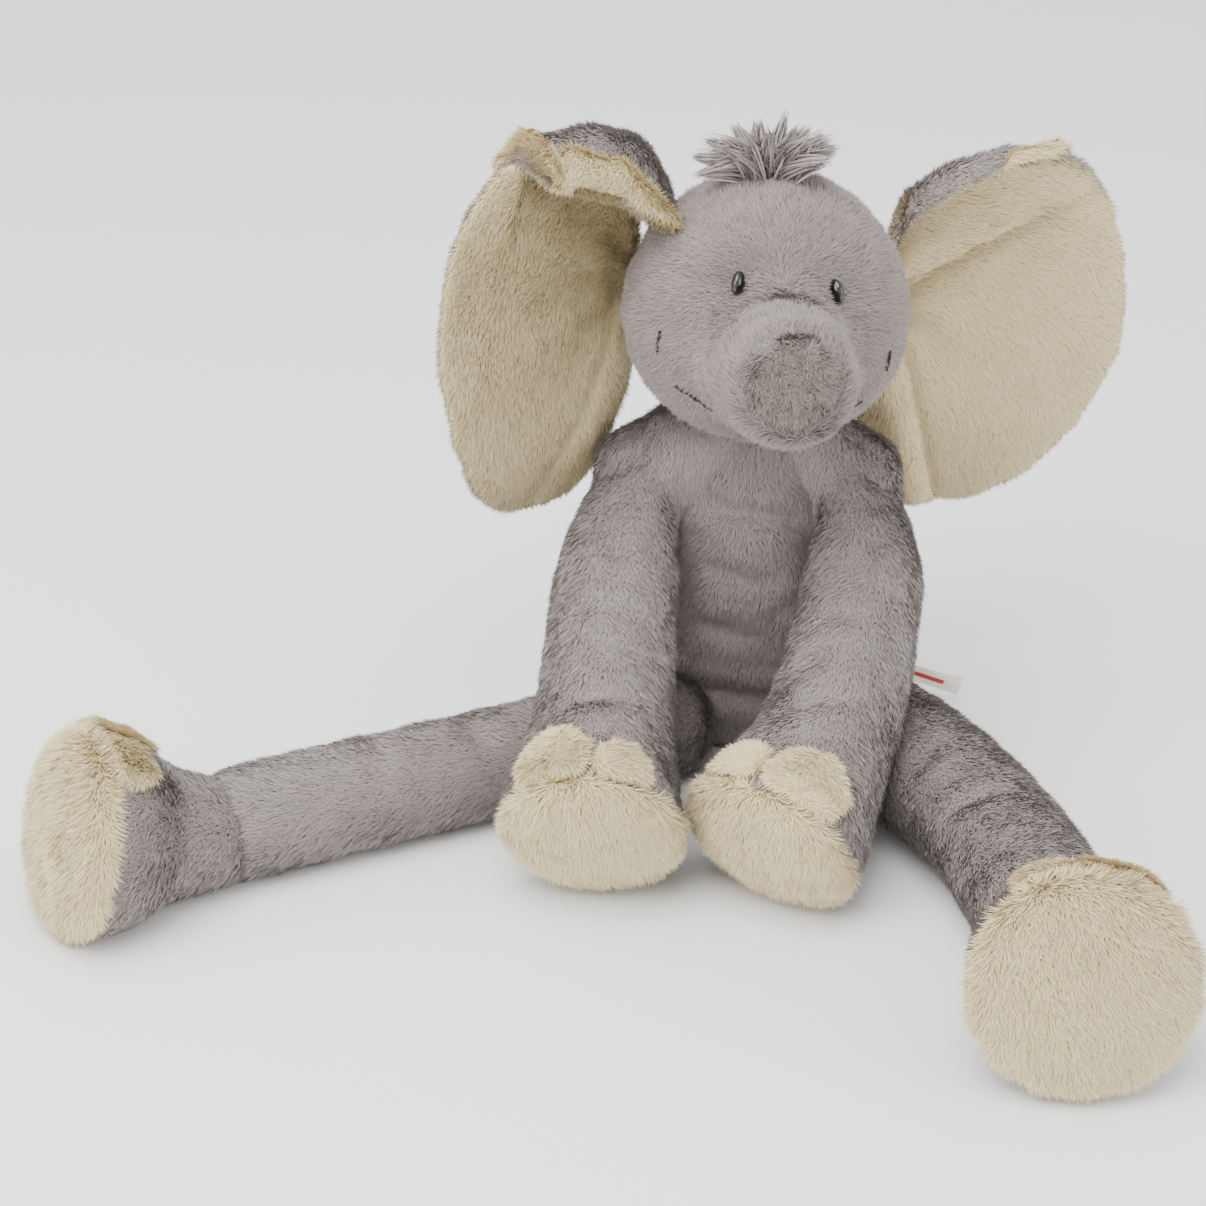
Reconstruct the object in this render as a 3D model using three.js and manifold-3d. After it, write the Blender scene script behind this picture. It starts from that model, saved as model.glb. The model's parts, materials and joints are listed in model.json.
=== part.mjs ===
// A long-limbed plush elephant that sits on the floor: grey pile, cream ear linings, soles and toenails.
// Millimetres, +Z up. The origin is the middle of the flat underside of the seat, and the toy faces -Y.
// "left" and "right" are the toy's own: its left side is +X.
import * as THREE from "three";
import { mergeVertices } from "three/addons/utils/BufferGeometryUtils.js";
import Module from "manifold-3d";

const wasm = await Module();
wasm.setup();

// ---------- driving dimensions ----------
const FABRIC = 3; // backing cloth and laid pile of every cover
const GAP = 0.5; // between pieces that lie against each other
const SWING = 1; // more room where a piece turns against its neighbour

const TORSO_HEIGHT = 136; // from the seat to the shoulder line's top
const TORSO_WIDTH = 104;
const TORSO_DEPTH = 82;
const SEAT_RADIUS = 33; // flat underside, across X
const SEAT_POUCH_HEIGHT = 26;
const PANEL_WIDTH = 58; // belly panel, between its two seams
const PANEL_LOW = 12; // the panel's lowest seam above the floor

const NECK_RADIUS = 23;
const NECK_SINK = 9; // the neck's turning centre below the torso's top
const NECK_FORWARD = 4;

const HEAD_WIDTH = 106;
const HEAD_DEPTH = 101;
const HEAD_HEIGHT = 100;
const HEAD_LIFT = 60; // from the neck's turning centre to the head's middle
const HEAD_FORWARD = 15;
const HEAD_SHIFT = 2; // towards the toy's left
const HEAD_TURN = 6; // degrees, towards the toy's left
const HEAD_ROLL = 6.5; // degrees, left side down
const HEAD_EGG = 0.07; // how much wider the head is at its base than at its middle, as a share

const TRUNK_LENGTH = 50; // from its turning centre to the end patch
const TRUNK_DROP = 2; // its root below the head's middle
const TRUNK_ROOT_RADIUS = 21.5;
const TRUNK_END_RADIUS = 20.5;
const TRUNK_SINK = 10; // how far its turning centre lies inside the face
const TRUNK_RISE = 16; // degrees that the end patch looks up
const TRUNK_TURN = 6; // and towards the toy's right
const TRUNK_BULGE = 3; // how far the end patch domes out

const EYE_RADIUS = 4.6;
const EYE_CLEAR = 8.8; // from the edge of the trunk's root to an eye's middle
const EYE_ANGLE = 52.37; // degrees of that line above level
const SHANK_RADIUS = 1.4;
const SHANK_TAIL = 2.8; // what stands out of the washer that grips the shank
const WASHER_GAP = 0.4; // from the bead's back to its washer
const WASHER_RADIUS = 6;
const WASHER_THICK = 1.2;

const TUFT_WIDTH = 44;
const TUFT_HEIGHT = 23;
const TUFT_DEPTH = 0.55; // share of its width, front to back
const TUFT_SHIFT = 7; // towards the toy's right
const TUFT_BACK = 6;
const TUFT_SINK = 4; // how far its root is sewn below the crown
const THREAD = 0.8; // radius of the embroidery thread
const MOUTH_SPACING = 40;
const MOUTH_LENGTH = 15;
const MOUTH_RISE = 0.42; // how steeply it rises outwards
const MOUTH_DROP = 27; // its inner end below the head's middle
const CHEEK_SPACING = 84;
const CHEEK_LENGTH = 8;
const CHEEK_DROP = 10;

const EAR_WIDTH = 98;
const EAR_HEIGHT = 157;
const EAR_LAYER = 3.4; // one layer of the ear: cloth and pile
const EAR_FOLD = 22; // how far the top edge leans forward at the root
const EAR_CUP = 12; // how far the outer edge comes forward
const EAR_BACK = 32; // behind the head's middle
const EAR_DROP = 17; // the ear's middle below the head's
const EAR_TILT = { left: 0, right: -5 }; // degrees that each ear leans from the head's own upright
const EAR_DRAPE = 14; // how far its lowest edge hangs back, behind the shoulder
const EAR_SWEEP = { left: -4, right: 34 }; // degrees that each ear is swept forward

const ARM_LENGTH = 154; // shoulder centre to the edge of the paw's sole
const ARM_RADIUS = 21.5;
const SHOULDER_RADIUS = 17;
const SHOULDER_SPACING = 94;
const SHOULDER_FORWARD = 16;
const SHOULDER_LEAN = -4; // how far leaning has carried both shoulders towards the toy's right
const SHOULDER_DROP = 22; // below the torso's top
const PAW_RADIUS = 33.5;
const PAW_FLARE = 40; // length over which the paw widens
const WRIST_GIRTH = 1.1; // share of the arm's own girth where that begins
const PAW_BULGE = 11; // how far the sole domes out

const LEG_LENGTH = 170; // hip centre to ankle centre
const LEG_RADIUS = 22;
const LEG_FLAT = 0.6; // how far the leg's weight presses its underside flat
const LEG_TAPER = 1; // how much thinner it is past its middle
const HIP_SPACING = 78;
const HIP_FORWARD = 49; // in front of the seat's middle
const ANKLE_RADIUS = 21;
const ANKLE_ROOM = 10; // the leg's cover stops this far short of the ankle's centre
const FOOT_LENGTH = 45; // ankle centre to the edge of the sole
const FOOT_RADIUS = 38.5;
const FOOT_BULGE = 12;
const FOOT_STEP = 1.5; // how much it widens before it flares out, and after
const FOOT_RISE = 17; // degrees that the foot points up from the leg

const POUCH_LENGTH = 22; // pellet pouch behind each sole
const NAIL_THICK = 2.2;
const NAIL_SEAT = 0.62; // share of a toenail's radius that lies between its middle and the sole's seam
const BIG_NAIL_RADIUS = 15;
const SMALL_NAIL_RADIUS = 11;

const TAIL_LENGTH = 46;
const TAIL_RADIUS = 5;
const TAIL_HEIGHT = 40;
const TAIL_TUFT_RADIUS = 8;
const TAIL_TUFT_LENGTH = 22;

const LABEL_LENGTH = 36;
const LABEL_WIDTH = 8;
const LABEL_THICK = 0.9;
const LABEL_HEIGHT = 23;
const LABEL_BACK = 8; // behind the seat's middle
const LABEL_DIP = 17; // degrees that it hangs below level

// How each limb lies: degrees of heading from straight ahead (outwards is positive) and of dip below level,
// at its root and at its end, and how far slumping has shortened (and thickened) it.
const LIE = {
  right_arm: { heading: [3, 3], dip: [42, 26], slump: 0.96 },
  left_arm: { heading: [2, -33], dip: [42, 26], slump: 1 },
  right_leg: { heading: [64, 61], dip: [0, 0], slump: 1.08 },
  left_leg: { heading: [44, 5], dip: [0, 0], slump: 0.92 },
};
// Degrees that each piece swings, which the sockets leave free: an arm is raised from where it lies, a leg
// slides over the floor inwards and outwards, and the trunk bends down and up.
const ARM_SWING = [0, 45];
const LEG_SWING = { right_leg: [-12, 22], left_leg: [-2, 50] };
const TRUNK_SWING = [-18, 20];
const SWING_STEP = 15; // degrees between the places that a socket is cut from

// ---------- materials ----------
const cloth = (color, roughness = 0.95) =>
  new THREE.MeshStandardMaterial({ color, roughness, metalness: 0 });
const greyPile = cloth(0xa39d9b);
const creamPile = cloth(0xe0d6b9);
const fibreFill = cloth(0xf4f2ee);
const pelletCloth = cloth(0xd9d6d0);
const blackThread = cloth(0x2c2a2b, 0.7);
const ribbon = cloth(0xf1ece0, 0.8);
const eyePlastic = new THREE.MeshStandardMaterial({ color: 0x0d0c0d, roughness: 0.12, metalness: 0 });
const washerPlastic = new THREE.MeshStandardMaterial({ color: 0xe8e6e0, roughness: 0.5, metalness: 0 });

// ---------- solids ----------
const degrees = THREE.MathUtils.degToRad;

// A closed geometry with its shared vertices merged and no empty triangles, as a solid to join and cut.
function solidOf(geometry) {
  const bare = geometry.clone();
  bare.deleteAttribute("normal");
  bare.deleteAttribute("uv");
  const merged = mergeVertices(bare, 1e-3);
  const index = merged.index.array;
  const kept = [];
  for (let i = 0; i < index.length; i += 3) {
    const [a, b, c] = index.slice(i, i + 3);
    if (a !== b && b !== c && c !== a) kept.push(a, b, c);
  }
  const vertProperties = merged.attributes.position.array;
  return new wasm.Manifold(new wasm.Mesh({ numProp: 3, vertProperties, triVerts: new Uint32Array(kept) }));
}

function geometryOf(solid) {
  const mesh = solid.getMesh();
  const geometry = new THREE.BufferGeometry();
  geometry.setAttribute("position", new THREE.BufferAttribute(mesh.vertProperties, 3));
  geometry.setIndex(new THREE.BufferAttribute(mesh.triVerts, 1));
  geometry.computeVertexNormals();
  return geometry;
}

function cut(solid, ...tools) {
  return tools.reduce((left, tool) => left.subtract(tool), solid);
}

// Moves every vertex of a geometry by a function of its place.
function warp(geometry, place) {
  const position = geometry.attributes.position;
  const point = new THREE.Vector3();
  for (let i = 0; i < position.count; i++) {
    place(point.fromBufferAttribute(position, i));
    position.setXYZ(i, point.x, point.y, point.z);
  }
  return geometry;
}

// The same shape on the other side of X = 0, with its faces still pointing out.
function mirrored(geometry) {
  const index = geometry.index.array;
  for (let i = 0; i < index.length; i += 3) [index[i + 1], index[i + 2]] = [index[i + 2], index[i + 1]];
  return geometry.scale(-1, 1, 1);
}

function ball(radius, at, segments = 16) {
  return new THREE.SphereGeometry(radius, segments, Math.ceil(segments / 2)).translate(at.x, at.y, at.z);
}

// Room for a ball of this radius to turn: its flat faces clear the ball too.
function socketFor(radius, at, segments = 12) {
  return solidOf(ball((radius + SWING) / Math.cos(Math.PI / segments) ** 2, at, segments));
}

function rod(radius, length, from, direction, segments = 12) {
  const turn = new THREE.Quaternion().setFromUnitVectors(new THREE.Vector3(0, 1, 0), direction);
  return new THREE.CylinderGeometry(radius, radius, length, segments)
    .translate(0, length / 2, 0)
    .applyQuaternion(turn)
    .translate(from.x, from.y, from.z);
}

function slab(low, high) {
  const size = high.clone().sub(low);
  const middle = high.clone().add(low).multiplyScalar(0.5);
  return new THREE.BoxGeometry(size.x, size.y, size.z).translate(middle.x, middle.y, middle.z);
}

const FAR = 400; // larger than any piece
const corner = (x, y, z) => new THREE.Vector3(x, y, z);
const belowFloor = (height) => solidOf(slab(corner(-FAR, -FAR, -FAR), corner(FAR, FAR, height)));

// Angles from one limit of a swing to the other, for cutting the room that it takes.
function swingSteps([from, to]) {
  const count = Math.ceil((to - from) / SWING_STEP);
  return Array.from({ length: count + 1 }, (_, i) => THREE.MathUtils.lerp(from, to, i / count));
}

const root = new THREE.Group();

function addPiece(parent, name, solid, material) {
  const mesh = new THREE.Mesh(geometryOf(solid), material);
  mesh.name = name;
  parent.add(mesh);
}

function addGroup(parent, position, turn = 0) {
  const group = new THREE.Group();
  group.position.copy(position);
  group.rotation.z = turn;
  parent.add(group);
  group.updateMatrixWorld(true);
  return group;
}

// ---------- round limbs ----------
// Radius at a distance along a limb, from [distance, radius] stations.
function radiusAt(stations, distance) {
  const [first, last] = [stations[0], stations[stations.length - 1]];
  if (distance <= first[0]) return first[1];
  if (distance >= last[0]) return last[1];
  const next = stations.findIndex(([at]) => at > distance);
  const [[a, ra], [b, rb]] = [stations[next - 1], stations[next]];
  return ra + (rb - ra) * THREE.MathUtils.smoothstep(distance, a, b);
}

// The middle line of a limb: it leaves the origin along -Y and bends evenly from its root to its end.
// It is straight between its rings, so that every layer of the limb bends alike.
class Bend {
  constructor(length, heading, dip, spacing = 22) {
    this.length = length;
    this.heading = heading;
    this.dip = dip;
    this.count = Math.max(Math.ceil(length / spacing), 1);
    this.rings = [this.ring(new THREE.Vector3(), 0)];
    for (let i = 0; i < this.count; i++) {
      const along = this.direction((i + 0.5) / this.count);
      const middle = this.rings[i].middle.clone().addScaledVector(along, length / this.count);
      this.rings.push(this.ring(middle, (i + 1) / this.count));
    }
  }
  direction(share) {
    const heading = degrees(THREE.MathUtils.lerp(this.heading[0], this.heading[1], share));
    const dip = degrees(THREE.MathUtils.lerp(this.dip[0], this.dip[1], share));
    return corner(Math.sin(heading) * Math.cos(dip), -Math.cos(heading) * Math.cos(dip), -Math.sin(dip));
  }
  ring(middle, share) {
    const along = this.direction(share);
    const side = along.clone().cross(new THREE.Vector3(0, 0, 1)).normalize();
    return { middle, along, side, up: side.clone().cross(along) };
  }
  // Where a point of a straight limb lies on the ring, `beyond` past it.
  onRing(ring, point, beyond) {
    return ring.middle
      .clone()
      .addScaledVector(ring.side, point.x)
      .addScaledVector(ring.up, point.z)
      .addScaledVector(ring.along, beyond);
  }
  place(point) {
    if (point.y <= 0) return this.onRing(this.rings[0], point, point.y);
    if (point.y >= this.length) return this.onRing(this.rings[this.count], point, point.y - this.length);
    const at = (point.y / this.length) * this.count;
    const i = Math.min(Math.floor(at), this.count - 1);
    return this.onRing(this.rings[i], point, 0).lerp(this.onRing(this.rings[i + 1], point, 0), at - i);
  }
  end() {
    return this.rings[this.count].middle.clone();
  }
  bend(geometry) {
    return warp(geometry, (p) => p.copy(this.place(p)));
  }
  // The limb's rings between two distances, with the radius on each, straight from ring to ring.
  radii(stations, from, to, inset) {
    const ringAt = (i) => (this.length * i) / this.count;
    const onRing = (i) => radiusAt(stations, ringAt(i));
    const radius = (at) => {
      const i = THREE.MathUtils.clamp(Math.floor((at / this.length) * this.count), 0, this.count - 1);
      return THREE.MathUtils.mapLinear(at, ringAt(i), ringAt(i + 1), onRing(i), onRing(i + 1));
    };
    const between = [];
    for (let i = 0; i <= this.count; i++) {
      if (ringAt(i) > from + GAP && ringAt(i) < to - GAP) between.push(ringAt(i));
    }
    return [from, ...between, to].map((at) => [radius(at) - inset, at]);
  }
}

// One side of a limb's outline from its rounded root to `end`, moved inwards by `inset`.
function limbOutline(line, stations, end, inset) {
  const rootRadius = stations[0][1] - inset;
  const cap = [0, 30, 60].map((angle) => [
    rootRadius * Math.sin(degrees(angle)),
    -rootRadius * Math.cos(degrees(angle)),
  ]);
  return [...cap, ...line.radii(stations, 0, end, inset)];
}

function dome(radius, bulge, base, steps = 3) {
  const points = [];
  for (let i = 1; i <= steps; i++) {
    const a = degrees((90 * i) / steps);
    points.push([radius * Math.cos(a), base + bulge * Math.sin(a)]);
  }
  points[steps - 1][0] = 0;
  return points;
}

const LIMB_SIDES = 14;
function spin(points, segments = LIMB_SIDES) {
  return new THREE.LatheGeometry(points.map(([r, along]) => new THREE.Vector2(r, along)), segments);
}

// A cover open at its far end, its filling, and what closes that end.
function limbCover(line, stations, end) {
  const outside = limbOutline(line, stations, end, 0);
  const inside = limbOutline(line, stations, end, FABRIC).reverse();
  return solidOf(line.bend(spin([...outside, ...inside])));
}

function limbFilling(line, stations, end, inset) {
  const side = limbOutline(line, stations, end, inset);
  return solidOf(line.bend(spin([...side, [0, end]])));
}

function pelletPouch(line, stations, from, end, bulge) {
  const inset = FABRIC + GAP;
  const rim = radiusAt(stations, end) - inset;
  const side = line.radii(stations, from, end, inset);
  return solidOf(line.bend(spin([[0, from], ...side, ...dome(rim, bulge, end)])));
}

function soleDisc(line, stations, end, bulge) {
  const rim = radiusAt(stations, end);
  const outside = [[rim, end + GAP], [rim, end + FABRIC], ...dome(rim, bulge, end + FABRIC)];
  const inside = dome(rim - FABRIC, bulge + GAP, end + GAP).reverse();
  return solidOf(line.bend(spin([...inside, [rim - FABRIC, end + GAP], ...outside])));
}

// The room that a limb takes as far as `end` when it is turned about its root.
function limbRoomAt(line, stations, end, turn, group) {
  const widened = stations.map(([along, radius]) => [along, radius + SWING]);
  const room = line.bend(spin([...limbOutline(line, widened, end, 0), [0, end]], 10));
  return solidOf(room.applyMatrix4(turn).applyMatrix4(group.matrixWorld));
}

// A round toenail patch on the cover against the sole's seam, turned `angle` degrees from the top outwards.
function toenail(line, stations, end, radius, angle) {
  const low = Math.max(end - 2 * radius, 0);
  const outside = line.radii(stations, low, end - GAP, -GAP - NAIL_THICK);
  const inside = line.radii(stations, low, end - GAP, -GAP).reverse();
  const ring = solidOf(line.bend(spin([...outside, ...inside, outside[0]])));
  const middle = end - radius * NAIL_SEAT;
  const a = degrees(90 - angle);
  const puck = rod(radius, FAR / 4, corner(0, middle, 0), corner(Math.cos(a), 0, Math.sin(a)), 9);
  return ring.intersect(solidOf(line.bend(puck)));
}

// The two toenails sit side by side, the big one on the inner side of the limb's top.
function limbNails(line, stations, end, outwards) {
  const reach = (radius) => {
    const around = radiusAt(stations, end - radius * NAIL_SEAT);
    return THREE.MathUtils.radToDeg(Math.asin((radius + GAP) / around));
  };
  return {
    big: toenail(line, stations, end, BIG_NAIL_RADIUS, -outwards * reach(BIG_NAIL_RADIUS)),
    small: toenail(line, stations, end, SMALL_NAIL_RADIUS, outwards * reach(SMALL_NAIL_RADIUS)),
  };
}

// ---------- arms ----------
const armCarves = [];
for (const [side, outwards] of [["left", 1], ["right", -1]]) {
  const lie = LIE[`${side}_arm`];
  const length = ARM_LENGTH * lie.slump;
  const girth = 1 / Math.sqrt(lie.slump);
  const shoulderX = SHOULDER_LEAN + (outwards * SHOULDER_SPACING) / 2;
  const at = corner(shoulderX, -SHOULDER_FORWARD, TORSO_HEIGHT - SHOULDER_DROP);
  const arm = addGroup(root, at, degrees(outwards * lie.heading[0]));
  const line = new Bend(length, [0, outwards * (lie.heading[1] - lie.heading[0])], lie.dip);
  const stations = [
    [0, SHOULDER_RADIUS],
    [length * 0.3, ARM_RADIUS * girth],
    [length - PAW_FLARE, ARM_RADIUS * girth * WRIST_GIRTH],
    [length, PAW_RADIUS],
  ];
  const floor = belowFloor(-at.z);
  const raised = belowFloor(-at.z + FABRIC + GAP);
  const fillEnd = length - POUCH_LENGTH;
  addPiece(arm, `arm_cover_${side}`, cut(limbCover(line, stations, length), floor), greyPile);
  const filling = cut(limbFilling(line, stations, fillEnd - GAP, FABRIC + GAP), raised);
  addPiece(arm, `arm_stuffing_${side}`, filling, fibreFill);
  const pouch = cut(pelletPouch(line, stations, fillEnd, length, PAW_BULGE - GAP), raised);
  addPiece(arm, `paw_pellet_pouch_${side}`, pouch, pelletCloth);
  addPiece(arm, `paw_sole_${side}`, cut(soleDisc(line, stations, length, PAW_BULGE), floor), creamPile);
  const nails = limbNails(line, stations, length, outwards);
  addPiece(arm, `paw_big_toenail_${side}`, cut(nails.big, floor), creamPile);
  addPiece(arm, `paw_small_toenail_${side}`, cut(nails.small, floor), creamPile);
  for (const swing of swingSteps(ARM_SWING)) {
    const turn = new THREE.Matrix4().makeRotationX(degrees(-swing));
    armCarves.push(limbRoomAt(line, stations, length / 2, turn, arm));
  }
}

// ---------- legs and feet ----------
const legCarves = [];
for (const [side, outwards] of [["left", 1], ["right", -1]]) {
  const lie = LIE[`${side}_leg`];
  const length = LEG_LENGTH * lie.slump;
  const radius = LEG_RADIUS / lie.slump;
  const at = corner((outwards * HIP_SPACING) / 2, -HIP_FORWARD, radius - LEG_FLAT);
  const leg = addGroup(root, at, degrees(outwards * lie.heading[0]));
  const line = new Bend(length, [0, outwards * (lie.heading[1] - lie.heading[0])], lie.dip);
  const stations = [[0, radius], [length / 2, radius - LEG_TAPER], [length, radius - LEG_TAPER / 2]];
  const floor = belowFloor(-at.z);
  const raised = belowFloor(-at.z + FABRIC + GAP);
  const ankle = line.end();
  const socket = socketFor(ANKLE_RADIUS, ankle);
  const legEnd = length - ANKLE_ROOM;
  const cover = cut(limbCover(line, stations, legEnd), floor, socket);
  addPiece(leg, `leg_cover_${side}`, cover, greyPile);
  const filling = cut(limbFilling(line, stations, legEnd, FABRIC + GAP), raised, socket);
  addPiece(leg, `leg_stuffing_${side}`, filling, fibreFill);

  for (const swing of swingSteps(LEG_SWING[`${side}_leg`])) {
    const turn = new THREE.Matrix4().makeRotationZ(degrees(outwards * swing));
    legCarves.push(limbRoomAt(line, stations, length / 2, turn, leg));
  }

  const endHeading = outwards * (lie.heading[1] - lie.heading[0]);
  const foot = addGroup(leg, ankle, degrees(endHeading));
  const footLine = new Bend(FOOT_LENGTH, [0, 0], [-FOOT_RISE, -FOOT_RISE]);
  const footStations = [
    [0, ANKLE_RADIUS],
    [FOOT_LENGTH * 0.2, ANKLE_RADIUS + FOOT_STEP],
    [FOOT_LENGTH * 0.85, FOOT_RADIUS - FOOT_STEP],
    [FOOT_LENGTH, FOOT_RADIUS],
  ];
  const footCover = cut(limbCover(footLine, footStations, FOOT_LENGTH), floor);
  addPiece(foot, `foot_cover_${side}`, footCover, greyPile);
  const footFillEnd = FOOT_LENGTH - POUCH_LENGTH;
  const footFilling = limbFilling(footLine, footStations, footFillEnd - GAP, FABRIC + GAP);
  addPiece(foot, `foot_stuffing_${side}`, cut(footFilling, raised), fibreFill);
  const pouch = pelletPouch(footLine, footStations, footFillEnd, FOOT_LENGTH, FOOT_BULGE - GAP);
  addPiece(foot, `foot_pellet_pouch_${side}`, cut(pouch, raised), pelletCloth);
  const sole = soleDisc(footLine, footStations, FOOT_LENGTH, FOOT_BULGE);
  addPiece(foot, `foot_sole_${side}`, cut(sole, floor), creamPile);
  const nails = limbNails(footLine, footStations, FOOT_LENGTH, outwards);
  addPiece(foot, `foot_big_toenail_${side}`, nails.big, creamPile);
  addPiece(foot, `foot_small_toenail_${side}`, nails.small, creamPile);
}

// ---------- torso ----------
const neckHeight = TORSO_HEIGHT - NECK_SINK;
const neckCentre = corner(0, -NECK_FORWARD, neckHeight);

// Half-width of the torso at a share of its height.
const torsoStations = [
  [0, SEAT_RADIUS],
  [0.06, TORSO_WIDTH * 0.43],
  [0.16, TORSO_WIDTH * 0.488],
  [0.3, TORSO_WIDTH * 0.5],
  [0.45, TORSO_WIDTH * 0.475],
  [0.62, TORSO_WIDTH * 0.425],
  [0.78, TORSO_WIDTH * 0.365],
  [0.9, TORSO_WIDTH * 0.29],
];

function torsoSolid(inset) {
  const side = torsoStations.map(([share, r]) => [r - inset, Math.max(share * TORSO_HEIGHT, inset)]);
  const shape = spin([[0, inset], ...side, [0, TORSO_HEIGHT - inset]], 18).rotateX(Math.PI / 2);
  const flat = (TORSO_DEPTH / 2 - inset) / (TORSO_WIDTH / 2 - inset);
  return solidOf(shape.scale(1, flat, 1)).add(solidOf(ball(NECK_RADIUS - inset, neckCentre)));
}

function panelCutter(grow) {
  const half = PANEL_WIDTH / 2 + grow;
  const low = PANEL_LOW - grow;
  const waist = neckHeight * 0.55;
  const outline = new THREE.Shape();
  outline.moveTo(-half * 0.5, FAR / 2);
  outline.lineTo(-half * 0.5, neckHeight - NECK_RADIUS);
  outline.bezierCurveTo(-half * 1.2, waist, -half * 1.1, low, 0, low);
  outline.bezierCurveTo(half * 1.1, low, half * 1.2, waist, half * 0.5, neckHeight - NECK_RADIUS);
  outline.lineTo(half * 0.5, FAR / 2);
  const depth = { depth: FAR, bevelEnabled: false, curveSegments: 8 };
  const front = new THREE.ExtrudeGeometry(outline, depth).rotateX(Math.PI / 2);
  return solidOf(front.translate(0, -SEAT_RADIUS / 3, 0));
}

const limbRoom = [...armCarves, ...legCarves];
const torsoShell = cut(torsoSolid(0), torsoSolid(FABRIC), ...limbRoom);
addPiece(root, "torso_cover", cut(torsoShell, panelCutter(GAP)), greyPile);
addPiece(root, "belly_panel", torsoShell.intersect(panelCutter(0)), greyPile);
const torsoInside = cut(torsoSolid(FABRIC + GAP), ...limbRoom);
const pouchTop = belowFloor(SEAT_POUCH_HEIGHT);
addPiece(root, "seat_pellet_pouch", torsoInside.intersect(pouchTop), pelletCloth);
addPiece(root, "torso_stuffing", cut(torsoInside, belowFloor(SEAT_POUCH_HEIGHT + GAP)), fibreFill);

// ---------- head ----------
const headCentre = neckCentre.clone().add(corner(HEAD_SHIFT, -HEAD_FORWARD, HEAD_LIFT));
const head = addGroup(root, headCentre, degrees(HEAD_TURN));
head.rotation.y = degrees(HEAD_ROLL);
head.updateMatrixWorld(true);
const intoHead = head.matrixWorld.clone().invert();
const neckInHead = neckCentre.clone().applyMatrix4(intoHead);

// The head is an egg whose widest part lies a little below its middle.
function headSolid(inset) {
  return solidOf(
    warp(new THREE.SphereGeometry(1, 20, 11).rotateX(Math.PI / 2), (p) => {
      const wide = 1 - HEAD_EGG * p.z;
      p.x *= (HEAD_WIDTH / 2 - inset) * wide;
      p.y *= (HEAD_DEPTH / 2 - inset) * wide;
      p.z *= HEAD_HEIGHT / 2 - inset;
    }),
  );
}

// Where a ray from the head's middle meets its surface, for pieces that sit on it.
function onFace(x, z) {
  const along = z / (HEAD_HEIGHT / 2);
  const wide = 1 - HEAD_EGG * along;
  const rest = 1 - along ** 2 - (x / ((HEAD_WIDTH / 2) * wide)) ** 2;
  return corner(x, -(HEAD_DEPTH / 2) * wide * Math.sqrt(rest), z);
}

const trunkCentre = onFace(0, -TRUNK_DROP).add(corner(0, TRUNK_SINK, 0));
const neckSocket = socketFor(NECK_RADIUS, neckInHead);
const trunkSocket = swingSteps(TRUNK_SWING).reduce((room, swing) => {
  const out = corner(0, -Math.cos(degrees(swing)), Math.sin(degrees(swing)));
  return room.add(solidOf(rod(TRUNK_ROOT_RADIUS + 2 * SWING, TRUNK_LENGTH, trunkCentre, out)));
}, socketFor(TRUNK_ROOT_RADIUS, trunkCentre));

const eyeHoles = [];
const eyeSeats = [];
const eyeReach = TRUNK_ROOT_RADIUS + EYE_CLEAR;
const eyeHeight = eyeReach * Math.sin(degrees(EYE_ANGLE)) - TRUNK_DROP;
const washerAt = EYE_RADIUS + WASHER_GAP;
const shankEnd = washerAt + WASHER_THICK + SHANK_TAIL;
for (const [side, outwards] of [["left", 1], ["right", -1]]) {
  const at = onFace(outwards * eyeReach * Math.cos(degrees(EYE_ANGLE)), eyeHeight);
  const inwards = at.clone().multiplyScalar(-1).normalize();
  const turn = new THREE.Quaternion().setFromUnitVectors(new THREE.Vector3(0, 1, 0), inwards);
  const place = (geometry) => geometry.applyQuaternion(turn).translate(at.x, at.y, at.z);
  // A domed bead with its shank in one moulding.
  const bead = [[0, -EYE_RADIUS * 0.7]];
  for (const angle of [25, 50, 75, 100, 130]) {
    const a = degrees(angle);
    bead.push([EYE_RADIUS * Math.sin(a), EYE_RADIUS * (0.3 - Math.cos(a))]);
  }
  bead.push([SHANK_RADIUS, EYE_RADIUS], [SHANK_RADIUS, shankEnd], [0, shankEnd]);
  addPiece(head, `eye_${side}`, solidOf(place(spin(bead, 12))), eyePlastic);
  const ring = [
    [SHANK_RADIUS + GAP, washerAt],
    [WASHER_RADIUS, washerAt],
    [WASHER_RADIUS, washerAt + WASHER_THICK],
    [SHANK_RADIUS + GAP, washerAt + WASHER_THICK],
    [SHANK_RADIUS + GAP, washerAt],
  ];
  addPiece(head, `eye_washer_${side}`, solidOf(place(spin(ring, 12))), washerPlastic);
  const holeEnd = shankEnd + GAP;
  const hole = [
    [0, -EYE_RADIUS],
    [EYE_RADIUS + GAP, -EYE_RADIUS],
    [EYE_RADIUS + GAP, EYE_RADIUS * 0.9],
    [SHANK_RADIUS + GAP, EYE_RADIUS * 1.1],
    [SHANK_RADIUS + GAP, holeEnd],
    [0, holeEnd],
  ];
  eyeHoles.push(solidOf(place(spin(hole, 12))));
  const seat = [[0, -GAP], [WASHER_RADIUS + GAP, -GAP], [WASHER_RADIUS + GAP, holeEnd], [0, holeEnd]];
  eyeSeats.push(solidOf(place(spin(seat, 12))));
}
const sockets = [neckSocket, trunkSocket];
const headCover = cut(headSolid(0), headSolid(FABRIC), ...sockets, ...eyeHoles);
addPiece(head, "head_cover", headCover, greyPile);
addPiece(head, "head_stuffing", cut(headSolid(FABRIC + GAP), ...sockets, ...eyeSeats), fibreFill);

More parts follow.
